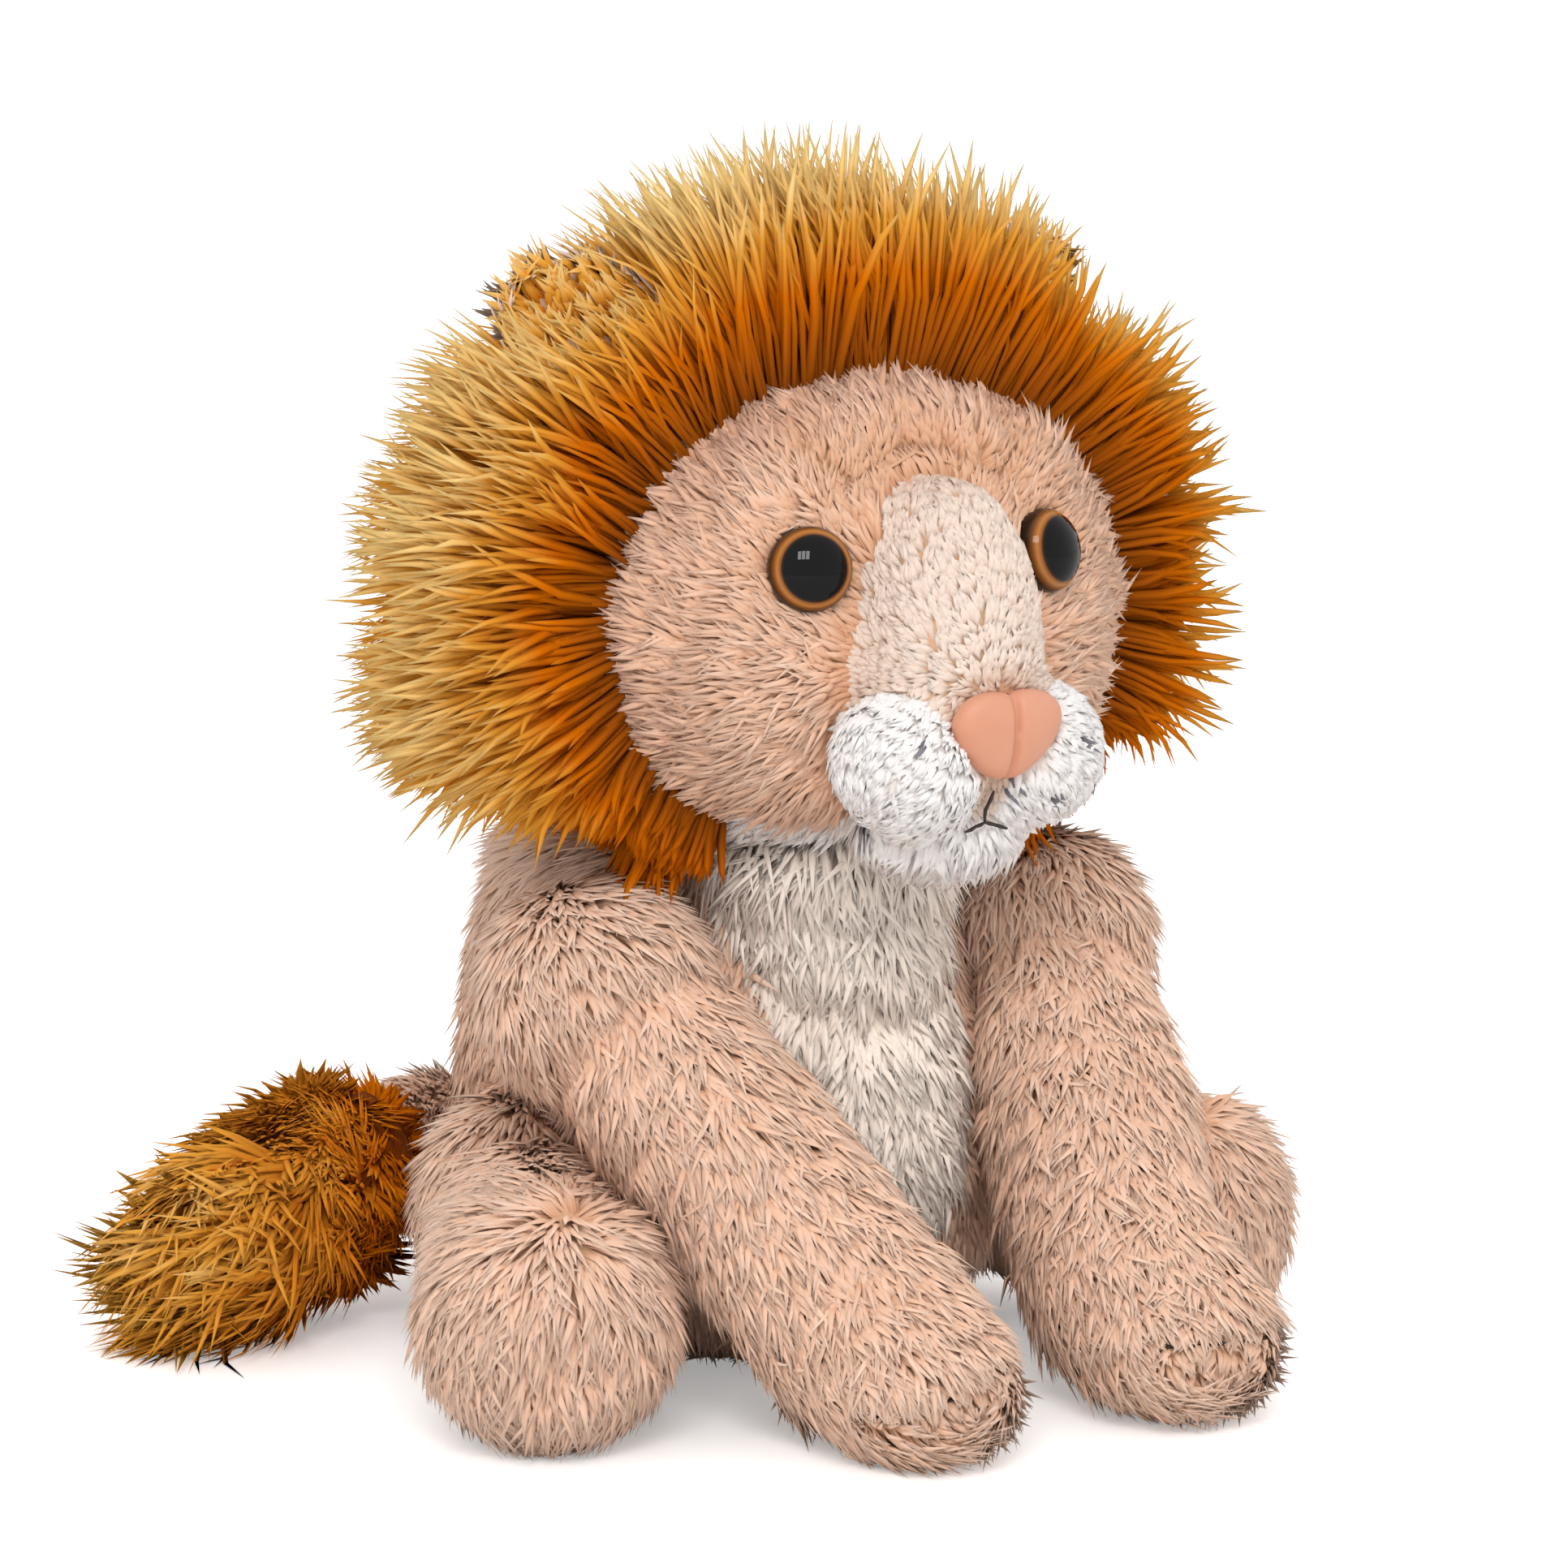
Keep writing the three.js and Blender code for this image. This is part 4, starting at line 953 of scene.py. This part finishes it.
def mass_finish(name, stops, middle, tangle):
    """The thick of the long pile, seen between the locks: coloured by its distance out, finely stranded."""
    material, tree = blank_finish(name)
    where = add(tree, "ShaderNodeTexCoord")
    moved = add(tree, "ShaderNodeVectorMath", {"operation": "SUBTRACT"}, {0: where.outputs["Object"]})
    moved.inputs[1].default_value = middle
    parts = add(tree, "ShaderNodeSeparateXYZ", None, {"Vector": moved.outputs[0]})
    flat = add(tree, "ShaderNodeCombineXYZ", None, {"X": parts.outputs["X"], "Z": parts.outputs["Z"]})
    out = add(tree, "ShaderNodeVectorMath", {"operation": "LENGTH"}, {0: flat.outputs[0]})
    sideways, up = parts.outputs["X"], parts.outputs["Z"]
    turn = add(tree, "ShaderNodeMath", {"operation": "ARCTAN2"}, {0: sideways, 1: up})
    strands = add(
        tree,
        "ShaderNodeCombineXYZ",
        None,
        {"X": turn.outputs[0], "Y": out.outputs["Value"], "Z": parts.outputs["Y"]},
    )
    fineness = {"Scale": (90.0, 60.0, 160.0)}
    stretched = add(tree, "ShaderNodeMapping", fineness, {"Vector": strands.outputs[0]})
    grain = add(
        tree,
        "ShaderNodeTexNoise",
        {"Scale": 1.0, "Detail": 3.0, "Distortion": tangle},
        {"Vector": stretched.outputs[0]},
    )
    ends = {"From Min": dye_and_shade_from, "From Max": dye_and_shade_to}
    reach = add(tree, "ShaderNodeMapRange", ends, {"Value": out.outputs["Value"]})
    ends = {"To Min": -0.25, "To Max": 0.25}
    uneven = add(tree, "ShaderNodeMapRange", ends, {"Value": grain.outputs["Fac"]})
    place = add(tree, "ShaderNodeMath", {"operation": "ADD"}, {0: reach.outputs[0], 1: uneven.outputs[0]})
    ramp = add(tree, "ShaderNodeValToRGB", None, {"Fac": place.outputs[0]})
    marks = ramp.color_ramp.elements
    while len(marks) < len(stops):
        marks.new(0.5)
    for mark, (height, code) in zip(marks, stops):
        mark.position = height
        mark.color = linear(code)
    relief = {"Strength": 0.8, "Distance": 0.0008}
    bump = add(tree, "ShaderNodeBump", relief, {"Height": grain.outputs["Fac"]})
    paint = add(
        tree,
        "ShaderNodeBsdfPrincipled",
        {"Roughness": 0.85, "Specular IOR Level": 0.1},
        {"Base Color": ramp.outputs["Color"], "Normal": bump.outputs[0]},
    )
    add(tree, "ShaderNodeOutputMaterial", None, {"Surface": paint.outputs[0]})
    return material


mane_middle = np.array([0, -0.024, 0.1106])
# the darkest brown, next to the face, is partly dye and partly painted shade under the face's edge
mane_mass_stops = [(0.0, "#5c2d08"), (0.3, "#9a4a08"), (0.6, "#c46a0c"), (1.0, "#d99a3c")]
mane_mass_finish = mass_finish("mane_underfur", mane_mass_stops, tuple(mane_middle), 0.3)
tuck_from = -0.008
tuck_depth = 0.02
tuck_share = 0.42


def tucked_in(places, outs):
    """Draws the front of the thick of the mane in behind the face."""
    front = np.clip((tuck_from - places[:, 1]) / tuck_depth, 0, 1)[:, None]
    return places - (places - mane_middle) * in_front * tuck_share * front


mane_mesh = cut_cloth(
    "mane",
    ["mane", "head_skin", "head_filling"],
    sunk=0.011,
    grain=0.0017,
    rounds=18,
    shaped=tucked_in,
    plug=head_plug,
)
mane_mass = keep("mane_underfur", mane_mesh, mane_mass_finish)
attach(mane_mass, "head")
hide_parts("mane")
mane_spacing = 0.00074
mane_width = 0.0012
mane_edge = -0.0345  # where the mane meets the face
mane_hem = 0.0785
throat_open = 42  # half of the open angle under the chin, in degrees
throat_back = -0.012
hood_radii = (0.0445, 0.0285, 0.035)
long_stand = 0.86
out_comb = 0.3  # in front the pile is brushed outward by this share
back_comb = np.array([0, 0.1, -0.8])
whole_comb = np.array([0, 0.8, -0.2])
hem_comb = np.array([0, -0.5, -1.2])
behind_depth = 0.03
hem_top = 0.1
hem_depth = 0.02
tips_past = 0.0015  # how far the tips reach past the solid, and how much further on the near side
near_tips_past = 0.0045
near_side_width = 0.04
shortest_reach = 0.01
longest_reach = 0.042
outside = 0.12  # a distance from which the whole part is seen from outside


def ball_mesh(name, radii, middle, fineness, turn=None):
    """A round form, squeezed to its radii, turned and set in its place, on which pile is rooted."""
    ball = bmesh.new()
    bmesh.ops.create_icosphere(ball, subdivisions=fineness, radius=1)
    bmesh.ops.scale(ball, vec=radii, verts=ball.verts)
    if turn:
        bmesh.ops.rotate(ball, cent=(0, 0, 0), matrix=turn, verts=ball.verts)
    bmesh.ops.translate(ball, vec=middle, verts=ball.verts)
    mesh = bpy.data.meshes.new(name)
    ball.to_mesh(mesh)
    ball.free()
    return mesh


def reach_out(form, roots, outs, comb, upright, laid, missed):
    """How far a lock goes from each root to the outside of a form, found from outside."""
    ways = unit(outs * upright + unit(comb - (comb * outs).sum(axis=1, keepdims=True) * outs) * laid)
    reach = np.empty(len(roots))
    for i, (root, way) in enumerate(zip(roots, ways)):
        _, _, _, far = form.ray_cast(Vector(root + way * outside), Vector(-way))
        reach[i] = outside - far if far else missed
    return reach


def under_mane(points):
    """Which roots lie behind the face and above the open throat."""
    around = np.degrees(np.arctan2(np.abs(points[:, 0]), -(points[:, 2] - mane_middle[2])))
    open_to = throat_open * (points[:, 1] <= throat_back)
    return (points[:, 1] > mane_edge) & (around > open_to) & (points[:, 2] > mane_hem)


hood_mesh = ball_mesh("hood", hood_radii, mane_middle, 5)
roots, outs = scatter(hood_mesh, mane_spacing, 71, under_mane)
bpy.data.meshes.remove(hood_mesh)
radial = unit((roots - mane_middle) * in_front)
behind = np.clip((roots[:, 1] - mane_middle[1]) / behind_depth, 0, 1)[:, None]
hem = np.clip((hem_top - roots[:, 2]) / hem_depth, 0, 1)[:, None]
comb = radial * out_comb * (1 - behind) + back_comb * behind + whole_comb + hem_comb * hem
reach = reach_out(searched("mane"), roots, outs, comb, long_stand, 0.5, 0.012)
near_side = np.clip(-roots[:, 0] / near_side_width, 0, 1)
reach = np.clip(reach + tips_past + near_tips_past * near_side, shortest_reach, longest_reach)
rng = np.random.default_rng(72)
reach *= 1 - 0.35 * rng.random(len(roots)) ** 2
tone = np.clip(0.5 + 0.06 * rng.normal(size=len(roots)) + 0.14 * drift(roots, 0.012, 73), 0.03, 0.97)


brown_radii = np.array([0.0445, 1, 0.0385])  # the mane is brown up to here, across and up
gold_past = 0.62  # and golden this share of it further out
back_depth = 0.025


def mane_dye_and_shade(points, t):
    """Brown by the face, partly dye and partly painted shade; orange further out, golden at the edge;
    golden tips behind.
    """
    flat = (points - mane_middle) / brown_radii
    out = np.clip((np.hypot(flat[:, 0], flat[:, 2]) - 1.0) / gold_past, 0, 1)
    back = np.clip(points[:, 1] / back_depth, 0, 1)
    return (0.75 * out + 0.25 * t) * (1 - back) + (0.35 + 0.6 * t) * back


long_lock = {  # how a lock of the long pile is made
    "wander": 0.2,
    "softness": 0.3,
    "rings": (0, 0.4, 0.75),
    "swell": (0.9, 1.0, 0.75),
    "flat": 0.3,
}
bent_over = 1.1  # a lock that bends is that much longer than the way it goes
mane_lots = 5
order = np.argsort(np.arctan2(roots[:, 0], roots[:, 2] - mane_middle[2]))
share = len(order) // mane_lots + 1
for part in range(mane_lots):
    lot = order[part * share : (part + 1) * share]
    piece = grow(
        f"mane_pile_{part + 1}",
        mane_pile,
        roots[lot],
        outs[lot],
        comb[lot],
        reach[lot] * bent_over,
        mane_width,
        long_stand,
        tone[lot],
        75 + part,
        clump=0.0065,
        pull=0.85,
        curl=0.12,
        uneven=0.06,
        spacing_of=mane_spacing,
        dye_and_shade=mane_dye_and_shade,
        **long_lock,
    )
    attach(piece, "head")

# The tail's tuft. The same long pile, sewn on at the end of the tail, spread and a little tangled,
# brown by the tail and golden at its far end. It is made as the mane is, a mass with locks over it.
tail_end = np.array([-0.041, 0.043, 0.022])
tuft_way = unit(np.array([-0.044, -0.016, -0.013]))
tuft_spacing = 0.00042
core_radii = (0.016, 0.008, 0.009)
tuft_stops = [(0.0, "#8a420a"), (0.4, "#bd6a0c"), (0.7, "#d08a2a"), (1.0, "#dcaa50")]
tuft_finish = mass_finish("tuft_underfur", tuft_stops, (-0.03, 0.04, 0.045), 1.5)
tuft_middle = tail_end + tuft_way * 0.02


def drawn_in(places, outs):
    """Draws the thick of the tuft together."""
    return places + (tuft_middle - places) * 0.15


tuft_mesh = cut_cloth("tuft", ["tail_tuft"], sunk=0.0085, grain=0.0011, rounds=12, shaped=drawn_in)
tuft_core = keep("tail_tuft_underfur", tuft_mesh, tuft_finish)
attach(tuft_core, "tail_tuft")
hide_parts("tail_tuft")
along_tail = Vector((1, 0, 0)).rotation_difference(Vector(tuft_way)).to_matrix()
core_mesh = ball_mesh("core", core_radii, tail_end + tuft_way * 0.012, 4, along_tail)
roots, outs = scatter(core_mesh, tuft_spacing, 81)
bpy.data.meshes.remove(core_mesh)
swirl = np.stack([drift(roots, 0.009, 280 + k) for k in range(3)], axis=1)
comb = tuft_way * np.clip(0.45 + outs @ tuft_way, -0.5, 1)[:, None] + 0.4 * swirl + np.array([0, 0, 0.1])
tuft_stand = 0.62
reach = reach_out(searched("tail_tuft"), roots, outs, comb, tuft_stand, 0.78, 0.01)
rng = np.random.default_rng(82)
reach = np.clip(reach + 0.003, 0.008, 0.032) * (1 - 0.3 * rng.random(len(roots)) ** 2)
tone = np.clip(0.86 + 0.05 * rng.normal(size=len(roots)) + 0.18 * drift(roots, 0.006, 83), 0.03, 0.97)


def tuft_dye(points, t):
    """Brown by the tail, then orange, then golden at the far end and on top."""
    along = (points - tail_end) @ tuft_way
    dyed = 0.29 + 0.4 * along / 0.05 + 6 * (points[:, 2] - 0.02) + 0.12 * t
    return np.clip(dyed + 0.06 * drift(points, 0.008, 86), 0.02, 1)


piece = grow(
    "tail_tuft_pile",
    mane_pile,
    roots,
    outs,
    comb,
    reach * bent_over,
    mane_width,
    tuft_stand,
    tone,
    84,
    clump=0.006,
    pull=0.9,
    curl=0.25,
    uneven=0.08,
    spacing_of=tuft_spacing,
    dye_and_shade=tuft_dye,
    **long_lock,
)
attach(piece, "tail_tuft")

# The ears. Two small rounded leaves, each a tan plush back and a golden lining sewn together and
# set into the mane, where they fold a little at the base. Only what stands out of the mane has pile.
ear_spacing = 0.001
ear_lock_length = 0.0055
ear_lock_width = 0.0012
ear_stand = 0.35
ear_tones = (0.4, 0.9)
mane_covers = 0.0055  # how deep in the mane an ear's pile may still be rooted


def lining_dye(points, t):
    """Orange at the root, golden at the tip."""
    return 0.45 + 0.5 * t


for side, hand in sides.items():
    ear = f"ear_{side}"
    nodes = [f"ear_back_{side}", f"ear_lining_{side}"]
    mesh = cut_cloth(ear, nodes, sunk=0.0006, grain=0.0008, rounds=6)
    roots, outs = scatter(mesh, ear_spacing, 91 + hand)
    free = (depth_in(forms["mane"], roots) < mane_covers) & (depth_in(forms["head"], roots) < 0)
    roots, outs = roots[free], outs[free]
    which = nearest_of(roots, [searched(node) for node in nodes])
    piece = keep(ear + "_cloth", mesh, tan_cloth)
    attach(piece, ear)
    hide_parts(*nodes)
    upward = unit(np.array([hand * 0.68, 0, 0.73]))
    for label, chosen, finish, dye_and_shade in (
        ("back", which == 0, tan_pile, None),
        ("lining", which == 1, mane_pile, lining_dye),
    ):
        spots, ways = roots[chosen], outs[chosen]
        piece = grow(
            f"{ear}_{label}_pile",
            finish,
            spots,
            ways,
            np.zeros_like(spots) + upward,
            ear_lock_length,
            ear_lock_width,
            ear_stand,
            tones_of(len(spots), 95 + hand, *ear_tones),
            97 + hand,
            dye_and_shade=dye_and_shade,
        )
        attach(piece, ear)

# The eyes. Domed acrylic safety eyes, a black pupil on an amber ring under clear gloss, each pushed
# through the cloth on a post. The dome is spun about the post and set where the solid eye stands.
eye_radius = 0.006
eye_dome = 0.0042  # how high the dome stands over its rim
eye_rim = 0.001
eye_back = 0.003
eye_turn = math.radians(20)  # how far an eye looks to its side, and how far upward
eye_rise = math.radians(10)
eye_rings_up = 16
eye_rings_round = 64
eye_finish, tree = blank_finish("domed_eye_acrylic")
place = add(tree, "ShaderNodeUVMap", {"uv_map": "eye_rings"})
split = add(tree, "ShaderNodeSeparateXYZ", None, {"Vector": place.outputs[0]})
rings = add(tree, "ShaderNodeValToRGB", None, {"Fac": split.outputs["X"]})
marks = rings.color_ramp.elements
eye_stops = [  # from the middle of the pupil to the rim
    (0.0, "#050404"),
    (0.72, "#070505"),
    (0.765, "#2a1608"),
    (0.8, "#8a5220"),
    (0.86, "#b4763a"),
    (0.92, "#7c4718"),
    (0.97, "#2e1808"),
    (1.0, "#140a05"),
]
while len(marks) < len(eye_stops):
    marks.new(0.5)
for mark, (spot, code) in zip(marks, eye_stops):
    mark.position = spot
    mark.color = linear(code)
paint = add(
    tree,
    "ShaderNodeBsdfPrincipled",
    {
        "Roughness": 0.3,
        "Specular IOR Level": 0.0,
        "Coat Weight": 1.0,
        "Coat Roughness": 0.02,
        "Coat IOR": 1.3,
    },
    {"Base Color": rings.outputs["Color"]},
)
add(tree, "ShaderNodeOutputMaterial", None, {"Surface": paint.outputs[0]})
for side, hand in sides.items():
    axis = Vector((hand * math.sin(eye_turn), -math.cos(eye_turn), math.tan(eye_rise))).normalized()
    places, _, _ = read(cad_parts[f"eye_{side}"].data)
    top = places[np.argmax(places @ np.array(axis))]
    middle = Vector(top) - axis * eye_dome
    dome = bmesh.new()
    profile = []
    for step in range(eye_rings_up + 1):
        angle = math.pi / 2 * step / eye_rings_up
        profile.append((eye_radius * math.sin(angle), eye_dome * math.cos(angle)))
    profile += [(eye_radius, -eye_rim), (eye_radius * 0.8, -eye_back), (0.0, -eye_back)]
    spine = [dome.verts.new((r, 0, h)) for r, h in profile]
    for a, b in zip(spine[:-1], spine[1:]):
        dome.edges.new((a, b))
    bmesh.ops.spin(
        dome,
        geom=dome.verts[:] + dome.edges[:],
        cent=(0, 0, 0),
        axis=(0, 0, 1),
        angle=math.tau,
        steps=eye_rings_round,
        use_merge=True,
    )
    bmesh.ops.remove_doubles(dome, verts=dome.verts, dist=merged)
    bmesh.ops.recalc_face_normals(dome, faces=dome.faces)
    layer = dome.loops.layers.uv.new("eye_rings")
    for face in dome.faces:
        for loop in face.loops:
            spot = loop.vert.co
            out = math.hypot(spot.x, spot.y) / eye_radius
            loop[layer].uv = (out * 0.98 + 0.01, 0.5 + spot.y / eye_radius * 0.45)
    turn = Vector((0, 0, 1)).rotation_difference(axis).to_matrix()
    bmesh.ops.rotate(dome, cent=(0, 0, 0), matrix=turn, verts=dome.verts)
    bmesh.ops.translate(dome, vec=middle, verts=dome.verts)
    for face in dome.faces:
        face.smooth = True
    eye = keep(f"eye_{side}_dome", dome, eye_finish)
    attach(eye, "head")
    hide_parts(f"eye_{side}")

# The nose. Soft matt vinyl on a post, moulded with two lobes on top, a groove down the middle and a
# blunt tip below. A ball is drawn out to the nose's outline, flattened and grooved.
nose_finish, tree = blank_finish("nose_vinyl")
where = add(tree, "ShaderNodeTexCoord")
cloud = add(tree, "ShaderNodeTexNoise", {"Scale": 160.0}, {"Vector": where.outputs["Object"]})
skin = add(tree, "ShaderNodeMix", {"data_type": "RGBA"}, {"Factor": cloud.outputs["Fac"]})
skin.inputs[colour_a].default_value = linear("#cf8c6e")
skin.inputs[colour_b].default_value = linear("#da9e82")
grain = add(tree, "ShaderNodeTexNoise", {"Scale": 2600.0}, {"Vector": where.outputs["Object"]})
bump = add(tree, "ShaderNodeBump", {"Strength": 0.12, "Distance": 0.0001}, {"Height": grain.outputs["Fac"]})
paint = add(
    tree,
    "ShaderNodeBsdfPrincipled",
    {"Roughness": 0.5, "Specular IOR Level": 0.4, "Subsurface Weight": 0.1, "Subsurface Scale": 0.001},
    {"Base Color": skin.outputs[mixed_colour], "Normal": bump.outputs[0]},
)
add(tree, "ShaderNodeOutputMaterial", None, {"Surface": paint.outputs[0]})
nose_depth = 0.0034
nose_front = -0.0716
nose_height = 0.0973
nose_fullness = 0.75  # below 1, the front is flatter than a ball
nose_lean = 0.12
groove_depth = 0.0011
groove_width = 0.0006
edge_easing = (-0.16, -0.08, 0, 0.08, 0.16)  # the angles over which the outline is evened out
nose_edge = [  # the outline of one half, across and up, from the top to the tip
    (0, 0.0057),
    (0.0035, 0.0062),
    (0.0070, 0.0052),
    (0.0089, 0.0026),
    (0.0079, -0.0006),
    (0.0053, -0.0036),
    (0.0027, -0.0056),
    (0, -0.0062),
]
edge_turns = np.array([math.atan2(z, x) for x, z in nose_edge])
edge_reach = np.array([math.hypot(x, z) for x, z in nose_edge])
nose = bmesh.new()
bmesh.ops.create_uvsphere(nose, u_segments=96, v_segments=40, radius=1)
for vert in nose.verts:
    x, z, y = vert.co.x, vert.co.y, vert.co.z
    around = math.hypot(x, z)
    turn = math.atan2(z, abs(x))
    near_turns = [min(max(turn + shift, -math.pi / 2), math.pi / 2) for shift in edge_easing]
    nearby = [np.interp(near_turn, edge_turns[::-1], edge_reach[::-1]) for near_turn in near_turns]
    radius = sum(nearby) / len(nearby)
    sideways = around * radius * math.cos(turn) * (1 if x >= 0 else -1)
    up = around * radius * math.sin(turn)
    deep = math.copysign(abs(y) ** nose_fullness, y) * nose_depth
    groove = groove_depth * math.exp(-((sideways / groove_width) ** 2)) if y > 0 else 0
    forward = nose_front + nose_depth - deep + groove - nose_lean * up
    vert.co = (sideways, forward, up + nose_height)
bmesh.ops.recalc_face_normals(nose, faces=nose.faces)
for face in nose.faces:
    face.smooth = True
nose_piece = keep("nose_moulding", nose, nose_finish)
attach(nose_piece, "head")
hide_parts("nose")

# What lies inside. Loose polyester fibre in every part, a cloth bag of pellets in the seat, and the
# plastic washers that lock the posts of the eyes and the nose. The solids keep their own shape.
stuffing = cloth_finish("stuffing_fibre", "#d8d6d0", "#f2f1ec")
bagging = cloth_finish("pellet_bag_cloth", "#8f8c84", "#b5b2a8")
washer_finish, tree = blank_finish("washer_plastic")
where = add(tree, "ShaderNodeTexCoord")
cloud = add(tree, "ShaderNodeTexNoise", {"Scale": 900.0}, {"Vector": where.outputs["Object"]})
bump = add(tree, "ShaderNodeBump", {"Strength": 0.1, "Distance": 0.0001}, {"Height": cloud.outputs["Fac"]})
paint = add(
    tree,
    "ShaderNodeBsdfPrincipled",
    {"Base Color": linear("#e9e9e4"), "Roughness": 0.4},
    {"Normal": bump.outputs[0]},
)
add(tree, "ShaderNodeOutputMaterial", None, {"Surface": paint.outputs[0]})
for name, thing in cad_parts.items():
    for word, finish in (("filling", stuffing), ("pellet_bag", bagging), ("washer", washer_finish)):
        if word in name:
            for index in range(len(thing.data.materials)):
                thing.data.materials[index] = finish
